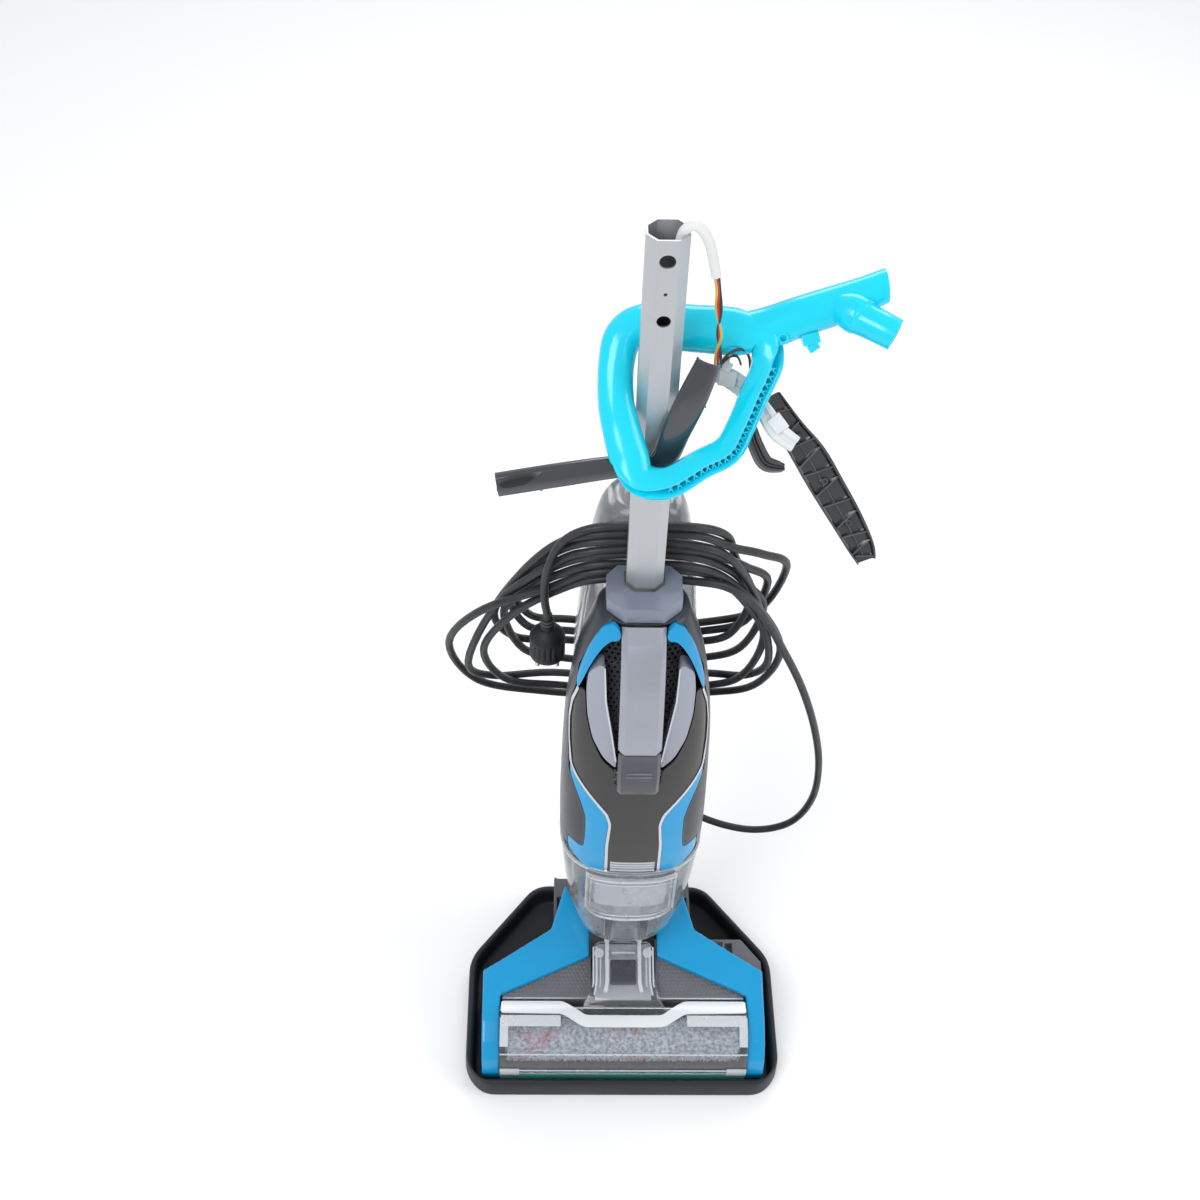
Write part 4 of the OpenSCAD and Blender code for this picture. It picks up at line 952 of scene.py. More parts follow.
dimples = []
for row in range(22):
    y = -67 + 4.1 * row
    for column in range(-30, 31):
        x = (column + 0.5 * (row % 2)) * 4.4
        if abs(x) < 37.5 or abs(x) > float(np.interp(y, (-71, -30, -4, 30), (131, 84, 62, 50))):
            continue
        rings = []
        for r, h in ((1.5, -0.3), (1.35, 0.35), (0.9, 0.75), (0.3, 0.9)):
            rings.append([(x + r * math.cos(a), y + r * 0.92 * math.sin(a), cover_z(y) + h + 0.1)
                for a in full_turns[::8]])
        dimples.append(loft(rings))
cover_plastic = moulding("cover_grey", (0.15, 0.154, 0.172), 0.34, metallic=0.25, bump=0.1, coat=0.15)
mesh_piece("cover_dimples", dimples, "foot", cover_plastic)
from_cad("dimpled_cover", "foot_cover", "foot", cover_plastic, bevel=0.8)
front_strips = [box_form(x0, x1, -73.4, -71.6, cover_z(-73) + 0.1, cover_z(-73) + 1.3) for x0, x1 in
    ((-131, -38), (38, 131))]
mesh_piece("cover_front_line", front_strips, "foot", silver_paint)

# ---------------------------------------------------------------- clear nozzle window
# Clear window that curves over the brush, flaring back into the duct to the neck. Two screws, ribs and a
# dark latch hold it; a white band follows its upper edge.

WINDOW_HALF, WINDOW_R, WINDOW_T = 133.1, 41, 2.5
WINDOW_OUT = WINDOW_R + WINDOW_T
WINDOW_Y, WINDOW_Z = -95, 35
window_clear = clear_moulding("window_clear", (0.95, 0.965, 0.98), 0.05, haze=0.04)


def window_arc(radius, first, last, count):
    return [(WINDOW_Y - radius * math.cos(math.radians(a)), WINDOW_Z + radius * math.sin(math.radians(a)))
        for a in np.linspace(first, last, count)]


def arch(x0, x1, inner, outer, first, last, count=40):
    """Part of a tube wall round the window's axis."""
    section = window_arc(outer, first, last, count) + window_arc(inner, last, first, count)
    return loft([[(x, y, z) for y, z in section] for x in (x0, x1)])


window_skin = arch(-WINDOW_HALF, WINDOW_HALF, WINDOW_R, WINDOW_OUT, -15, 101)
mesh_piece("nozzle_window_skin", [window_skin], "window", window_clear, ["nozzle_window"], sharp=50)

DUCT_ROWS = [(-84, 74.5, 46), (-82, 76, 44), (-77, 81, 40.5), (-70, 83.6, 37.5), (-60, 87, 35),
    (-48, 90.6, 33.6),
    (-34, 94.4, 33), (-24, 97, 32.6), (-19, 98.6, 30), (-17.6, 98.6, 27)]
duct_rings = []
for y, z, half in DUCT_ROWS:
    ring = [(half, z - 9), (half, z - 2), (half - 0.7, z - 0.6), (half - 2.2, z), (-half + 2.2, z),
        (-half + 0.7, z - 0.6),
        (-half, z - 2), (-half, z - 9), (-half + 2, z - 9), (-half + 2, z - 2.6), (half - 2, z - 2.6),
        (half - 2, z - 9)]
    duct_rings.append([(x, y, height) for x, height in ring])
mesh_piece("window_duct", [loft(duct_rings)], "window", window_clear, sharp=30)

# Ribs, side rails, clips at the window's ends and the pads round the two screws
detail_forms = []
for x, wide, tall, y0, y1 in ((17.6, 2.0, 2.6, -72, -14), (29, 1.1, 1.5, -74, -24), (25, 0.7, 1.2, -66, -34),
        (32.5, 0.9, 1.2, -66, -24)):
    for side in (-1, 1):
        rows = []
        for y in np.linspace(y0, y1, 12):
            z = float(np.interp(y, (-84, -82, -77, -60, -19, -14), (74.5, 76, 81, 87, 98.6, 99.4)))
            flare = max(0, (-62 - y)) * 0.22
            cx = side * (x + flare)
            rows.append([(cx - wide, y, z - 1), (cx - wide, y, z + tall - 0.6),
                (cx - wide * 0.5, y, z + tall),
                (cx + wide * 0.5, y, z + tall), (cx + wide, y, z + tall - 0.6), (cx + wide, y, z - 1)])
        detail_forms.append(loft(rows))
for side in (-1, 1):
    detail_forms.append(loft(turned([(-3, 3), (2.6, 3), (3.2, 2.4), (3.6, 1.2)], (side * 17.6, -16, 99.4),
        (0, -0.26, 1), 20)))
    detail_forms.append(loft(turned([(-2, 5.4), (1.4, 5.2), (1.9, 4.4), (1.9, 3.6), (0.6, 3.4), (0.6, 0.5)],
        (side * 26.4, -30, 95.4), (0, -0.26, 1), 28)))
    detail_forms.append(arch(side * 133, side * 112, WINDOW_OUT - 0.2, WINDOW_OUT + 1.4, -15, 4, 10))
    detail_forms.append(arch(side * 133, side * 124, WINDOW_OUT - 0.2, WINDOW_OUT + 1.0, 44, 84, 14))
    detail_forms.append(arch(side * 68, side * 132, WINDOW_OUT - 0.2, WINDOW_OUT + 0.5, 72, 88, 8))
detail_forms.append(arch(-133, 133, WINDOW_OUT - 0.2, WINDOW_OUT + 0.7, 31.2, 33, 4))
detail_forms.append(arch(-133, 133, WINDOW_OUT - 0.2, WINDOW_OUT + 0.8, -1, 1, 4))
detail_forms.append(flat_plate([(-13, 92.2), (13, 92.2), (13, 98), (-13, 98)], -31, -30))
mesh_piece("window_ribs", detail_forms, "window", tank_rims)
mesh_piece("window_screws", [screw_head((side * 26.4, -30, 94.4), (0, -0.26, 1), 2.6) for side in
    (-1, 1)], "window", screw_steel)

white_gloss = moulding("white_gloss", (0.74, 0.76, 0.79), 0.22, bump=0.02, coat=0.6, shift=0.04)
BAND_OUTLINE = [(0, -97), (38, -97), (42, -96), (62, -81), (67, -78.4), (WINDOW_HALF - 1, -78.4),
    (WINDOW_HALF - 1, -94),
    (68, -95), (64, -96.5), (46, -108), (40, -109.5), (0, -109.5)]


def on_window(x, y, depth):
    radius = WINDOW_OUT + 1.5 - depth
    return (x, y, WINDOW_Z + math.sqrt(max(radius ** 2 - (y - WINDOW_Y) ** 2, 0)))


surface_panel("white_band", [mirrored(rounded(BAND_OUTLINE, 3)[5:-5])], on_window, 1.8, 3, "window",
    white_gloss, ["window_band"], 0.4)
from_cad("latch_plate", "window_latch", "window_latch",
    moulding("latch_grey", (0.055, 0.06, 0.07), 0.32, coat=0.3), bevel=1.2)

# ---------------------------------------------------------------- brush roll
# Short microfibre and nylon pile in spiral rows on a green core: pale blue-grey with pink nylon patches.

BRUSH_AT = Vector((0, -100, 35))
BRUSH_R, BRUSH_HALF = 25, 126
TUFTS, PILE_ROOT = 5200, 21.5
pile_random = random.Random(11)
tufts_points, tufts_faces = [], []
for k in range(TUFTS):
    along = pile_random.uniform(-BRUSH_HALF, BRUSH_HALF)
    turn = pile_random.uniform(0, 2 * math.pi)
    lean_x, lean_t = pile_random.gauss(0, 0.9), pile_random.gauss(0, 0.05)
    tip = BRUSH_R - 0.6 + pile_random.uniform(-1.6, 0.9)
    start = len(tufts_points)
    for i in range(3):
        spin = 2 * math.pi * i / 3 + turn
        a = turn + 0.055 * math.cos(spin)
        x = along + 1.15 * math.sin(spin)
        tufts_points.append((x, BRUSH_AT.y + PILE_ROOT * math.cos(a), BRUSH_AT.z + PILE_ROOT * math.sin(a)))
        a = turn + lean_t + 0.03 * math.cos(spin)
        x = along + lean_x + 0.6 * math.sin(spin)
        tufts_points.append((x, BRUSH_AT.y + tip * math.cos(a), BRUSH_AT.z + tip * math.sin(a)))
    for i in range(3):
        j = (i + 1) % 3
        tufts_faces.append((start + 2 * i, start + 2 * j, start + 2 * j + 1, start + 2 * i + 1))
    tufts_faces.append((start + 1, start + 3, start + 5))
pile_look, pile_tree, pile_shader = new_look("brush_pile", Sheen_Weight=0.5)
pile_place = add_node(pile_tree, "ShaderNodeTexCoord")
pile_speck = add_node(pile_tree, "ShaderNodeTexNoise", Scale=260, Detail=4)
pile_shade = add_node(pile_tree, "ShaderNodeValToRGB")
for stop, position, colour in zip(pile_shade.color_ramp.elements, (0.38, 0.6), ((0.34, 0.4, 0.5, 1),
        (0.8, 0.83, 0.88, 1))):
    stop.position = position
    stop.color = colour
pile_patch = add_node(pile_tree, "ShaderNodeTexNoise", Scale=31, Detail=4)
pile_pink = add_node(pile_tree, "ShaderNodeMapRange", From_Min=0.57, From_Max=0.72, To_Max=0.8)
pile_mix = add_node(pile_tree, "ShaderNodeMix", B=(0.6, 0.08, 0.14, 1))
pile_rough = add_node(pile_tree, "ShaderNodeMapRange", To_Min=0.75, To_Max=0.95)
wire(pile_tree, (pile_place, "Object", pile_speck, "Vector"), (pile_place, "Object", pile_patch, "Vector"),
    (pile_speck, "Fac", pile_shade, "Fac"), (pile_patch, "Fac", pile_pink, "Value"),
    (pile_shade, "Color", pile_mix, "A"), (pile_pink, "Result", pile_mix, "Factor"),
    (pile_mix, "Result", pile_shader, "Base Color"), (pile_speck, "Fac", pile_rough, "Value"),
    (pile_rough, "Result", pile_shader, "Roughness"))
backing = turned([(-BRUSH_HALF + 1, 16.1), (-BRUSH_HALF + 1, 21.6), (-BRUSH_HALF + 2, 22.4),
    (BRUSH_HALF - 2, 22.4),
    (BRUSH_HALF - 1, 21.6), (BRUSH_HALF - 1, 16.1)], BRUSH_AT, (1, 0, 0), 64)
mesh_piece("brush_pile_tufts", [loft(backing, closed=True), (tufts_points, tufts_faces)], "brush",
    pile_look, ["brush_pile"], sharp=70)
seal_green = moulding("seal_green", (0.1, 0.56, 0.5), 0.4, bump=0.05)
from_cad("green_front_seal", "front_seal", "foot", seal_green, bevel=0.6)

# ---------------------------------------------------------------- tube
# Eight-sided extruded aluminium tube, satin anodised, with three holes in front for the handle's fixings.

drawn, drawn_in, drawn_out = effect("drawn_lines", [("Fineness", 700)], [("Line", "NodeSocketFloat")])
drawn_place = add_node(drawn, "ShaderNodeTexCoord")
drawn_map = add_node(drawn, "ShaderNodeMapping", Scale=(1, 1, 0.012))
drawn_noise = add_node(drawn, "ShaderNodeTexNoise", Detail=4)
wire(drawn, (drawn_place, "Object", drawn_map, "Vector"), (drawn_map, "Vector", drawn_noise, "Vector"),
    (drawn_in, "Fineness", drawn_noise, "Scale"), (drawn_noise, "Fac", drawn_out, "Line"))
tube_metal = moulding("satin_aluminium", (0.5, 0.51, 0.53), 0.4, metallic=0.75, bump=0.02, shift=0.05,
    worn=0.1)
tube_tree = tube_metal.node_tree
tube_lines = add_node(tube_tree, "ShaderNodeGroup", drawn)
tube_relief = add_node(tube_tree, "ShaderNodeBump", Strength=0.12, Distance=0.0003)
wire(tube_tree, (tube_lines, "Line", tube_relief, "Height"),
    (tube_relief, "Normal", tube_tree.nodes["Principled BSDF"], "Normal"))
from_cad("octagon_tube", "tube", "upright", tube_metal, bevel=0.45, segments=2)

# ---------------------------------------------------------------- handle loop
# Bright cyan moulded loop: a full round bar at the top and left, an open ribbed channel down the right and
# along the bottom. Its arm ends in a cut-off tube and a round socket. It hangs loose round the tube.

LEAN = math.radians(38)
PLANE_FACING = Vector((0, -math.cos(LEAN), math.sin(LEAN)))


def place(x, up, back=0.0):
    """A point in the loose handle's own leaning plane."""
    return Vector((x, -8 + up * math.sin(LEAN) + back * math.cos(LEAN), 795.5 + up * math.cos(LEAN)
        - back * math.sin(LEAN)))


# Outline of a round bar, as turns, and of the open channel, as parts of the bar's half width
ROUND_TURNS = [40, 30, 22, 14, -14, -22, -30, -40, -65, -90, -115, -145, -180, -215, -245, -270, -295]
OPEN_FORM = [(1, 0.98), (1.02, 0.74), (0.9, 0.66), (-0.3, 0.6), (-0.3, -0.6), (0.9, -0.66), (1.02, -0.74),
    (1, -0.98),
    (0.5, -1.04), (0, -1.04), (-0.6, -1), (-0.95, -0.6), (-1, 0), (-0.95, 0.6), (-0.6, 1), (0, 1.04),
    (0.5, 1.04)]


CHANNEL_TILT = math.radians(38)


def channel_axes(outward, facing, openness=1):
    """Across and along the channel's mouth, which faces more and more sideways as the bar opens."""
    tilt = CHANNEL_TILT * openness
    return (outward * math.cos(tilt) + facing * math.sin(tilt),
        facing * math.cos(tilt) - outward * math.sin(tilt))


def bar_ring(centre, outward, facing, half, thick, openness):
    p_axis, q_axis = channel_axes(outward, facing, openness)
    count = len(ROUND_TURNS)
    ring = []
    for k in range(count):
        next_turn = ROUND_TURNS[k + 1] if k < count - 1 else ROUND_TURNS[0] - 360
        for f in (0, 0.5):
            turn = math.radians(between(ROUND_TURNS[k], next_turn, f))
            a, b = OPEN_FORM[k], OPEN_FORM[(k + 1) % count]
            size = (half + thick) / 2
            p = between(half * math.cos(turn), size * between(a[0], b[0], f), openness)
            q = between(thick * math.sin(turn), size * between(a[1], b[1], f), openness)
            ring.append(centre + p_axis * p + q_axis * q)
    return ring


def bar_frames(rows, steps, closed):
    """Smoothed rows with the bar's heading and its two cross directions."""
    line = smooth_line(rows, steps, closed)
    centres = [place(r[0], r[1], r[4]) for r in line]
    count = len(line)
    middle = sum(centres, Vector()) / count
    frames = []
    for i, row in enumerate(line):
        ahead_i = (i + 1) % count if closed else min(i + 1, count - 1)
        behind_i = i - 1 if closed else max(i - 1, 0)
        heading = (centres[ahead_i] - centres[behind_i]).normalized()
        facing = (PLANE_FACING - heading * PLANE_FACING.dot(heading)).normalized()
        outward = heading.cross(facing)
        if closed and outward.dot(centres[i] - middle) < 0:
            outward = -outward
        frames.append((centres[i], heading, outward, facing, row))
    return frames


# x, height in the plane, half width, half thickness, depth behind the plane, and how open the bar is
LOOP_ROWS = [(-33, 62, 14.6, 11, 0, 0), (-33, 90, 14.6, 12, 2, 0), (-27, 112, 16, 14, 6, 0),
    (-8, 121, 18, 16, 9, 0), (30, 119, 19, 16, 9, 0), (62, 117, 19, 16, 7, 0), (84, 112, 14, 14, 4, 0.2),
    (86, 92, 10, 11, 1, 1), (76, 67, 9.5, 10, 0, 1), (66, 42, 9, 10, 0, 1), (56, 24, 10, 10, -1, 1),
    (36, 13, 10, 10, -2, 1), (10, -2, 12, 9, -3, 1), (-12, 0, 15, 9, -3, 0.6), (-22, 18, 16, 10, -3, 0),
    (-29, 42, 15.4, 10, -1, 0)]
loop_frames = bar_frames(LOOP_ROWS, 9, True)
loop_rings = []
for centre, heading, outward, facing, row in loop_frames:
    loop_rings.append(bar_ring(centre, outward, facing, row[2], row[3], min(max(row[5], 0), 1)))
handle_forms = [loft(loop_rings, closed=True)]

# Crossed ribs inside the open channel
for i, (centre, heading, outward, facing, row) in enumerate(loop_frames):
    if row[5] < 0.95 or i % 2:
        continue
    p_axis, q_axis = channel_axes(outward, facing)
    size = (row[2] + row[3]) / 2
    for lean_way in (-1, 1):
        corners = []
        for p in (-0.32, 0.72):
            for q in (-0.62, 0.62):
                for t in (-0.6, 0.6):
                    corners.append(centre + (p_axis * p + q_axis * q) * size
                        + heading * (t + lean_way * 3.4 * q))
        handle_forms.append((corners, [(0, 1, 3, 2), (4, 6, 7, 5), (0, 4, 5, 1), (2, 3, 7, 6), (0, 2, 6, 4),
            (1, 5, 7, 3)]))


def hollow_bar(rows, steps, wall, depth, slant=0.0):
    """A round bar whose far end is open, its rim leaning back by the slant."""
    frames = bar_frames([(*r, 0) for r in rows], steps, False)
    rings, inner = [], []
    last = frames[-1][0]
    for centre, heading, outward, facing, row in frames:
        back = (centre - last).length
        for target, scale in ((rings, 1), (inner, wall)):
            ring = []
            for k in range(40):
                turn = 2 * math.pi * k / 40
                p, q = row[2] * scale * math.cos(turn), row[3] * scale * math.sin(turn)
                shear = slant * p * max(0, 1 - back / 30)
                ring.append(centre + outward * p + facing * q + heading * shear)
            if target is rings or back <= depth:
                target.append(ring)
    return loft(rings + inner[::-1])


handle_forms.append(hollow_bar([(60, 116, 15, 14, 6), (86, 120, 17, 15, 6), (112, 129.6, 16.4, 14.6, 4),
    (140, 139, 16, 14.4, 2), (162, 147.6, 14.4, 13.4, 0), (180, 155, 13.6, 12.6, 0)], 6, 0.84, 34, -0.25))
handle_forms.append(hollow_bar([(141, 141, 10, 10, -2), (149, 136, 15, 13, -7), (158, 131, 16, 14.6, -11),
    (162, 128.4, 14, 13.6, -13), (174, 122.4, 13.4, 13.2, -18), (185, 116.8, 13, 13, -21)], 6, 0.72, 18))


def plane_block(x0, x1, up0, up1, back0, back1, turn=0.0):
    """A block in the handle's plane, turned about its own middle."""
    mx, mu = (x0 + x1) / 2, (up0 + up1) / 2
    c, s = math.cos(turn), math.sin(turn)
    corners = []
    for back in (back0, back1):
        for x, up in ((x0, up0), (x1, up0), (x1, up1), (x0, up1)):
            dx, du = x - mx, up - mu
            corners.append(place(mx + dx * c - du * s, mu + dx * s + du * c, back))
    return loft([corners[:4], corners[4:]])


# Catch under the arm, a frame round the socket's window and a screw post by the seam
handle_forms.append(plane_block(114, 128, 108, 117, -4, 8, 0.28))
handle_forms.append(plane_block(119, 128, 103, 109, -3, 6, 0.6))
handle_forms.append(plane_block(150, 170, 121, 137, -24.5, -14, -0.3))
handle_forms.append(loft(turned([(-8, 5), (4, 5), (5, 4), (5, 2.6), (-2, 2.4)], place(98, 113, -4),
    PLANE_FACING, 24)))
handle_cyan = moulding("bright_cyan", (0.0, 0.64, 0.84), 0.2, bump=0.01, coat=0.35, shift=0.04, spread=0.08,
    worn=0.03)
handle_body = mesh_piece("handle_loop_bar", handle_forms, "upright", handle_cyan,
    ["handle_loop"], sharp=42)
soften(handle_body, 0.7, 2, 50)

# ---------------------------------------------------------------- loose grip cover
# Long glossy black half shell of the grip, hanging beside the tube, with a slanted dark matt cap at its left
# end: black plastic made darker as painted shade for the shell's shaded open end.

COVER_ROWS = [(38, 24, 890, 10, 3.4), (27, 16, 860, 12, 3.4), (16, 13, 828, 12, 3.4), (7, 11, 799, 11, 3.2),
    (-8, 10.4, 790, 9, 3), (-32, 8, 791, 9.5, 3.4), (-78, 3, 786, 10, 4), (-128, -2, 779, 10, 4)]
COVER_FORM = [(-1, -0.9), (-1, -0.2), (-0.92, 0.45), (-0.66, 0.86), (-0.3, 1.02), (0.05, 1.1), (0.42, 0.98),
    (0.74, 0.78),
    (0.95, 0.35), (1, -0.2), (1, -0.9), (0.86, -0.9), (0.84, 0), (0.5, 0.42), (0, 0.55), (-0.5, 0.42),
    (-0.84, 0),
    (-0.86, -0.9)]


def shell_sweep(rows, steps, towards, form, place_row):
    """An open half shell swept along rows of position, half width and half thickness."""
    line = smooth_line(rows, steps)
    centres = [place_row(r) for r in line]
    rings = []
    for i, row in enumerate(line):
        heading = (centres[min(i + 1, len(line) - 1)] - centres[max(i - 1, 0)]).normalized()
        facing = (Vector(towards) - heading * Vector(towards).dot(heading)).normalized()
        outward = heading.cross(facing)
        rings.append([centres[i] + outward * u * row[-2] + facing * v * row[-1] for u, v in form])
    return rings


cover_rings = shell_sweep(COVER_ROWS, 8, (0, -1, 0.35), COVER_FORM, lambda r: Vector(r[:3]))
black_gloss = moulding("black_gloss", (0.016, 0.017, 0.021), 0.16, bump=0.02, coat=1.0, shift=0.1,
    spread=0.06, worn=0.1, specular=0.6)
cover_post = loft(turned([(-9, 1.8), (0, 2.4)], (-92, 2.5, 780), (0, 0, 1), 20))
mesh_piece("long_grip_cover", [loft(cover_rings), cover_post], "upright",
    moulding("gunmetal_lacquer", (0.05, 0.052, 0.06), 0.16, bump=0.01, coat=1.0, metallic=0.5, spread=0.06,
    worn=0.1),
    ["grip_cover_long"], sharp=50)
# Painted shade: this dark matt cap stands where the shaded inside of the shell's open end shows, darker than
# the cover's own black.
shaded_end_rings = []
for step in range(9):
    f = step / 8
    ring = []
    for a in full_turns[::4]:
        size = 1.07 * (1 - 0.45 * f ** 4)
        v = math.sin(a) * (4.4 if math.sin(a) > 0 else 3.6) * size
        u = math.cos(a) * 10 * size
        ring.append(Vector((-104 - 24 * f + (1 - f) * u * 1.15, 0.4 - 3 * f - v,
            782.4 - 3.4 * f + u * 0.97 + v * 0.3)))
    shaded_end_rings.append(ring)
matt_black = moulding("matt_black", (0.014, 0.014, 0.016), 0.55, grain_scale=1400, bump=0.12)
mesh_piece("cover_end_shade_cap", [loft(shaded_end_rings)], "upright", matt_black, sharp=50)

# ---------------------------------------------------------------- ribbed grip shell
# The grip's other half, seen from inside: a thin black shell with cross ribs, screw posts and a spine.

# Place along, up and behind the handle's plane, then half width and half thickness
RIB_ROWS = [(96, 66, 30, 6, 4), (112, 38, 30, 11, 5), (128, 16, 30, 14, 5), (143, -8, 30, 14, 5),
    (160, -35, 30, 13, 5), (173, -58, 30, 11, 4.5), (178, -70, 30, 8, 4)]
RIB_FORM = [(-1, 1.1), (-1, 0), (-0.9, -0.7), (-0.5, -1), (0.5, -1), (0.9, -0.7), (1, 0), (1, 1.1),
    (0.86, 1.1),
    (0.84, 0.1), (0.74, -0.4), (0.4, -0.6), (-0.4, -0.6), (-0.74, -0.4), (-0.84, 0.1), (-0.86, 1.1)]
rib_shell = shell_sweep(RIB_ROWS, 6, PLANE_FACING, RIB_FORM, lambda r: place(*r[:3]))
rib_forms = [loft(rib_shell)]
for i in range(3, len(rib_shell) - 2, 3):
    left, right = rib_shell[i][15], rib_shell[i][8]
    floor_left, floor_right = rib_shell[i][12], rib_shell[i][11]
    along_bar = (rib_shell[i + 1][0] - rib_shell[i - 1][0]).normalized()
    lean_bar = along_bar * (2.5 if (i // 3) % 2 else -2.5)
    quad = [between(left, floor_left, 0.1) + lean_bar, between(right, floor_right, 0.1) - lean_bar,
        floor_right - lean_bar,
        floor_left + lean_bar]
    rib_forms.append(loft([[p - along_bar * 0.6 for p in quad], [p + along_bar * 0.6 for p in quad]]))
spine = [between(ring[12], ring[11], 0.62) for ring in rib_shell[4:-3]]
rib_forms.append(loft([[p + PLANE_FACING * h + Vector((w, 0, 0)) for w,
    h in ((-0.6, 0), (0.6, 0), (0.6, 3.4), (-0.6, 3.4))]
    for p in spine]))
for x, up in ((118, 32), (141, -4), (162, -38)):
    rib_forms.append(loft(turned([(-6, 3.6), (3, 3.2), (3.6, 2.8), (3.6, 1.5), (-1, 1.4)], place(x, up, 30),
        PLANE_FACING, 20)))
mesh_piece("ribbed_grip_shell", rib_forms, "upright", black_gloss,
    ["grip_cover_ribbed"], sharp=40)

# ---------------------------------------------------------------- grip chassis, trigger and switch
# White inner frame of the grip with a black two-lobed trigger, a switch bracket and a white connector.

chassis_white = moulding("chassis_white", (0.72, 0.73, 0.74), 0.38, bump=0.04)
CHASSIS_FORM = [(-1, -0.8), (-1, 0.7), (-0.8, 1), (-0.3, 1), (-0.22, 0.6), (0.22, 0.6), (0.3, 1), (0.8, 1),
    (1, 0.7),
    (1, -0.8)]
chassis_rows = [(46, 82, 18, 5, 4), (58, 80, 18, 8, 4.5), (70, 72, 18, 8, 4.5), (86, 56, 18, 7, 4.5),
    (100, 37, 18, 8, 4.5), (114, 27, 18, 7, 4.5)]
chassis_forms = [loft(shell_sweep(chassis_rows, 6, PLANE_FACING, CHASSIS_FORM, lambda r: place(*r[:3])))]
chassis_forms.append(plane_block(50, 64, 73, 86, 11, 15, -0.2))
chassis_forms.append(plane_block(92, 106, 38, 50, 12, 15, -0.9))
chassis_forms.append(loft(turned([(-4, 4), (5.4, 4), (6, 3.4), (6, 1.8), (2, 1.6)], place(76, 62, 18),
    PLANE_FACING, 24)))
chassis_piece = mesh_piece("white_grip_chassis", chassis_forms, "upright", chassis_white,
    ["grip_chassis"], sharp=40)
soften(chassis_piece, 0.5)
TRIGGER_FORM = [(-1, -0.9), (-1.02, 0), (-0.9, 0.7), (-0.62, 1), (-0.3, 0.9), (-0.12, 0.35), (0.12, 0.35),
    (0.3, 0.9),
    (0.62, 1), (0.9, 0.7), (1.02, 0), (1, -0.9)]
trigger_rows = [(72, 50, 18, 3.5, 3.5), (76, 42, 18, 5.5, 4), (82, 26, 18, 6.4, 4.4), (90, 12, 18, 6.6, 4.6),
    (101, 8.6, 18, 5, 4.2), (106, 8.6, 18, 3, 3.4)]
trigger_pin = turned([(-6, 1.5), (6, 1.5)], place(76, 46, 18), PLANE_FACING, 24)
mesh_piece("trigger_lever", [loft(shell_sweep(trigger_rows, 7, PLANE_FACING, TRIGGER_FORM,
    lambda r: place(*r[:3]))), loft(trigger_pin)], "trigger", black_gloss, ["trigger"],
    sharp=45)
from_cad("switch_clip", "switch_bracket", "upright", matt_black, bevel=0.7)
connector = [plane_block(50, 60, 86, 94, 8, 15, -0.5), plane_block(52, 58, 92, 97, 9, 14, -0.5)]
soften(mesh_piece("wire_connector", connector, "upright", chassis_white), 0.6)

# ---------------------------------------------------------------- wires and sleeve
# White glass-fibre sleeve out of the tube's mouth, then a yellow, a red and a black wire down to the switch.

sleeve_look = moulding("sleeve_white", (0.74, 0.74, 0.73), 0.6, grain_scale=1800, bump=0.3, shift=0.06)
sleeve_line = smooth_line([(9, 34, 984), (9.4, 33, 998), (12, 32, 1008), (18, 31.5, 1012.6), (25, 31.5, 1008),
    (31, 32, 996), (35, 33, 980), (38, 34, 966)], 8)
round_line("fibre_sleeve", sleeve_line, 8.4, "upright", sleeve_look, ["wire_sleeve"])
WIRE_COLOURS = [("wire_yellow", (0.62, 0.42, 0.05)), ("wire_red", (0.5, 0.015, 0.012)),
    ("wire_black", (0.015, 0.015, 0.016))]
for k, (wire_name, wire_colour) in enumerate(WIRE_COLOURS):
    s = k - 1
    wire_look = moulding(wire_name, wire_colour, 0.35, grain_scale=1500, bump=0.05)
    wire_line = smooth_line([(38 + 1.6 * s, 34, 968), (41 + 1.3 * s, 37 + s, 950),
        (43 + 1.9 * s, 38 - s, 930),
        (45.5 - 1.4 * s, 40 + s, 905), (46.5 + 1.8 * s, 43, 884), (48 + 2.4 * s, 50, 863)], 8)
    round_line(wire_name, wire_line, 2.2, "upright", wire_look, ["wires"] if k == 0 else ())
    if k == 2:
        round_line("wire_tail", smooth_line([(50, 50, 866), (56, 48, 879), (66, 52, 880), (73, 58, 868),
            (76, 62, 852)], 8),
            2.4, "upright", wire_look)
        round_line("wire_tail_short", smooth_line([(50, 51, 864), (57, 52, 872), (64, 57, 868),
            (68, 62, 856)], 8),
            2.0, "upright", wire_look)

# ---------------------------------------------------------------- clean water tank
# Clear blow-moulded tank behind the tube, with rounded shoulders and a screw cap under it.

TANK_ROWS = np.array([[352, 0.72, 76, 126], [358, 0.85, 71, 130], [366, 0.92, 69, 132], [400, 1, 67, 133],
    [470, 1, 67, 133], [530, 0.94, 67, 133], [585, 0.86, 67, 132], [625, 0.77, 67, 131],
    [652, 0.68, 67.4, 129],
    [667, 0.58, 69, 126], [675, 0.46, 74, 121], [678, 0.3, 82, 114]])
tank_line = smooth_line(TANK_ROWS, 5)
tank_turns = [2 * math.pi * i / 72 for i in range(72)]
outer_rings = [oval(60 * r[1], r[2], r[3], r[0], tank_turns, 3) for r in tank_line]
inner_rings = [oval(60 * r[1] - 2.4, r[2] + 2.4, r[3] - 2.4, min(max(r[0], 354.4), 675.6), tank_turns, 3)
    for r in tank_line]
mesh_piece("water_tank", [loft(outer_rings), lining(inner_rings)], "clean_tank",
    clear_moulding("water_tank_clear", (0.95, 0.96, 0.97), 0.08, haze=0.09), ["clean_tank"],
    sharp=50)
band_rows = []
for z, out in ((398, 0), (399, 1.2), (403, 1.2), (404, 0)):
    band_rows.append(oval(60 + out - 0.2, 67 - out + 0.2, 133 + out - 0.2, z, tank_turns, 3))
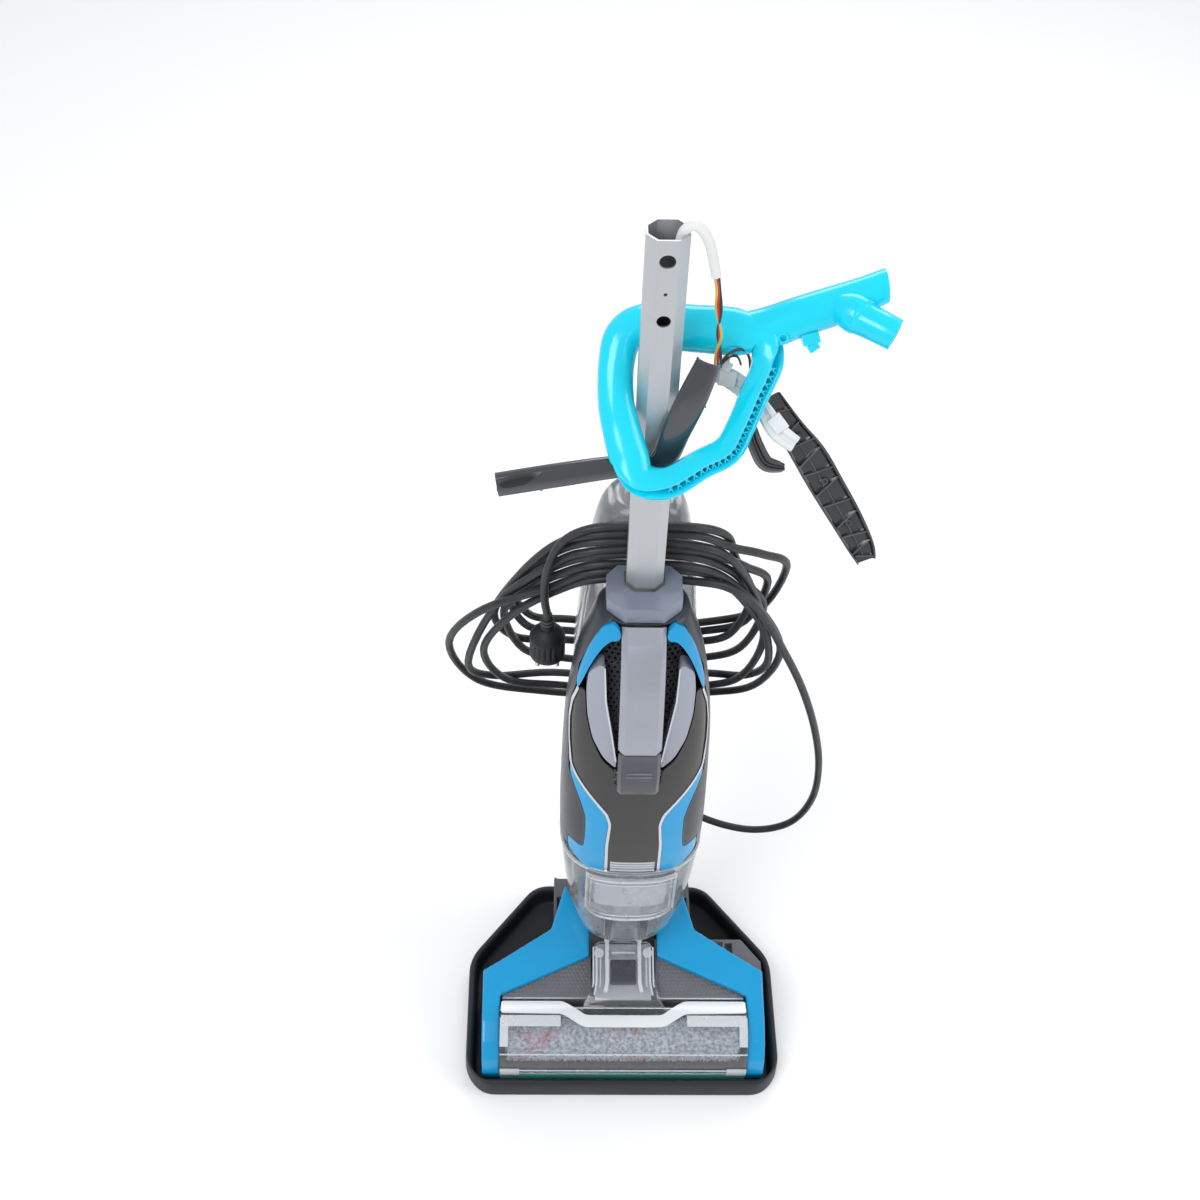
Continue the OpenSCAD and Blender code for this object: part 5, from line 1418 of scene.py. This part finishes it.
seam_rows = [oval(60 * s + out, 67 - out, 133 + out, z, tank_turns, 3) for s, z, out in ((0.86, 584, -0.3),
    (0.86, 585, 0.9), (0.855, 587, 0.9), (0.85, 588, -0.3))]
mesh_piece("water_tank_bands", [loft(band_rows, caps=False), loft(seam_rows, caps=False)], "clean_tank",
    tank_rims)

shell_dark = moulding("fitting_grey", (0.04, 0.044, 0.054), 0.42, coat=0.1)
cap_rows = [(333.5, 15), (333.8, 16), (336, 17), (350, 17), (351.2, 16), (351.4, 10)]
mesh_piece("tank_screw_cap", [loft(turned(cap_rows, (0, 100, 0), (0, 0, 1), 72, ribs=36,
    rib_depth=0.7, rib_rows=(2, 3))), loft(turned([(344, 9.6), (359, 9.6)], (0, 100, 0), (0, 0, 1), 40))],
    "tank_cap",
    shell_dark, ["tank_cap"], sharp=40)
for piece, node, body in (("water_tank_seat", "tank_seat", "upright"),
        ("lead_hook_low", "lower_hook", "upright"),
        ("lead_hook_high", "cord_hook", "cord_hook")):
    from_cad(piece, node, body, shell_dark, bevel=1.0)
from_cad("lead_gland", "cord_gland", "upright", plug_rubber, bevel=0.5)

# ---------------------------------------------------------------- neck, wheels and hose
# Cast pivot yoke on steel pins, a turning socket under the body, two rubber wheels and a ribbed hose.

from_cad("neck_pivot", "neck_yoke", "neck", shell_dark, bevel=0.8)
from_cad("swivel_socket", "neck_socket", "upright", shell_dark, bevel=1.0)
wheel_rubber = moulding("wheel_rubber", (0.02, 0.02, 0.022), 0.55, grain_scale=1100, bump=0.15)
WHEEL_AT = (60, 25.5)
for side_name, side in (("left", -1), ("right", 1)):
    wheel_rows = [(57, 4.1), (57, 8), (58, 8.6), (58.4, 12), (57.2, 14), (57, 18.4), (58.4, 20.6), (60, 21.8),
        (62, 22),
        (63.4, 21.2), (64.6, 21.2), (66, 22), (68, 21.8), (69.6, 20.6), (71, 18.4), (70.8, 14), (69.6, 12),
        (70, 8.6),
        (71, 8), (71, 4.1)]
    mesh_piece("rubber_wheel_" + side_name, [loft(turned([(side * a, r) for a, r in wheel_rows],
        (0, *WHEEL_AT), (1, 0, 0), 80, ribs=40, rib_depth=0.6, rib_rows=(7, 8, 11, 12)), closed=True)],
        "wheel_" + side_name, wheel_rubber, ["wheel_" + side_name], sharp=40)
hose_line = smooth_line([(0, -12, 80), (0, 2, 76), (0, 16, 68), (0, 30, 62)], 16)
hose_rings = []
for i, p in enumerate(hose_line):
    heading = Vector(hose_line[min(i + 1, len(hose_line) - 1)]) - Vector(hose_line[max(i - 1, 0)])
    heading.normalize()
    rise = Vector((1, 0, 0)).cross(heading)
    radius = 10.4 + 0.7 * math.cos(i * 1.6)
    hose_rings.append([Vector(p) + Vector((1, 0, 0)) * radius * math.cos(a) + rise * radius * math.sin(a)
        for a in full_turns[::2]])
mesh_piece("ribbed_hose", [loft(hose_rings)], "foot",
    moulding("hose_grey", (0.06, 0.062, 0.07), 0.45),
    ["suction_hose"], sharp=60)

# ---------------------------------------------------------------- chassis and inner parts
# Moulded foot chassis, metal shafts and pins, motors, belt, fan, pump and board inside the covers.

chassis_grey = moulding("chassis_grey", (0.07, 0.074, 0.085), 0.45)
inner_metal = moulding("plated_steel", (0.5, 0.5, 0.52), 0.32, metallic=1.0, bump=0.04)
motor_metal = moulding("motor_can", (0.38, 0.385, 0.4), 0.36, metallic=0.9, bump=0.05)
board_green = moulding("board_green", (0.03, 0.16, 0.08), 0.4, grain_scale=400, bump=0.3)
fan_white = moulding("fan_white", (0.6, 0.61, 0.6), 0.42)
INNER = [("foot_chassis", "foot_base", "foot", "chassis_grey", chassis_grey, 0.8),
    ("spray_pipe", "spray_bar", "foot", "black_plastic", matt_black, 0.4),
    ("squeegee_blade", "squeegee", "foot", "rubber_black", wheel_rubber, 0.5),
    ("brush_motor_can", "brush_motor", "foot", "motor_metal", motor_metal, 1.0),
    ("toothed_belt", "drive_belt", "foot", "rubber_black", wheel_rubber, 0.3),
    ("wheel_axles", "wheel_pins", "foot", "steel", inner_metal, 0.4),
    ("motor_pulley_wheel", "motor_pulley", "motor_pulley", "steel", inner_metal, 0.3),
    ("brush_core_tube", "brush_core", "brush", "seal_green", seal_green, 0.5),
    ("tank_bulkhead", "bulkhead", "upright", "mesh_black", grille_black, 0.5),
    ("suction_motor_can", "suction_motor", "upright", "motor_metal", motor_metal, 1.5),
    ("fan_impeller", "impeller", "impeller", "white_plastic", fan_white, 0.3),
    ("water_pump", "pump", "upright", "white_plastic", fan_white, 0.8),
    ("circuit_board", "control_board", "upright", "board_green", board_green, 0.2)]
for piece, node, body, slot_name, look, bevel in INNER:
    from_cad(piece, node, body, look, bevel=bevel)

# Pale floor of the duct under the clear window
duct_floor = loft([[(x * 30, y, cover_z(y) - h) for x, h in ((-1, 0), (-1, 1.2), (1, 1.2), (1, 0))]
    for y in np.linspace(-74, -16, 14)])
mesh_piece("duct_floor", [duct_floor], "foot",
    moulding("pale_grey", (0.6, 0.62, 0.66), 0.4, bump=0.03))
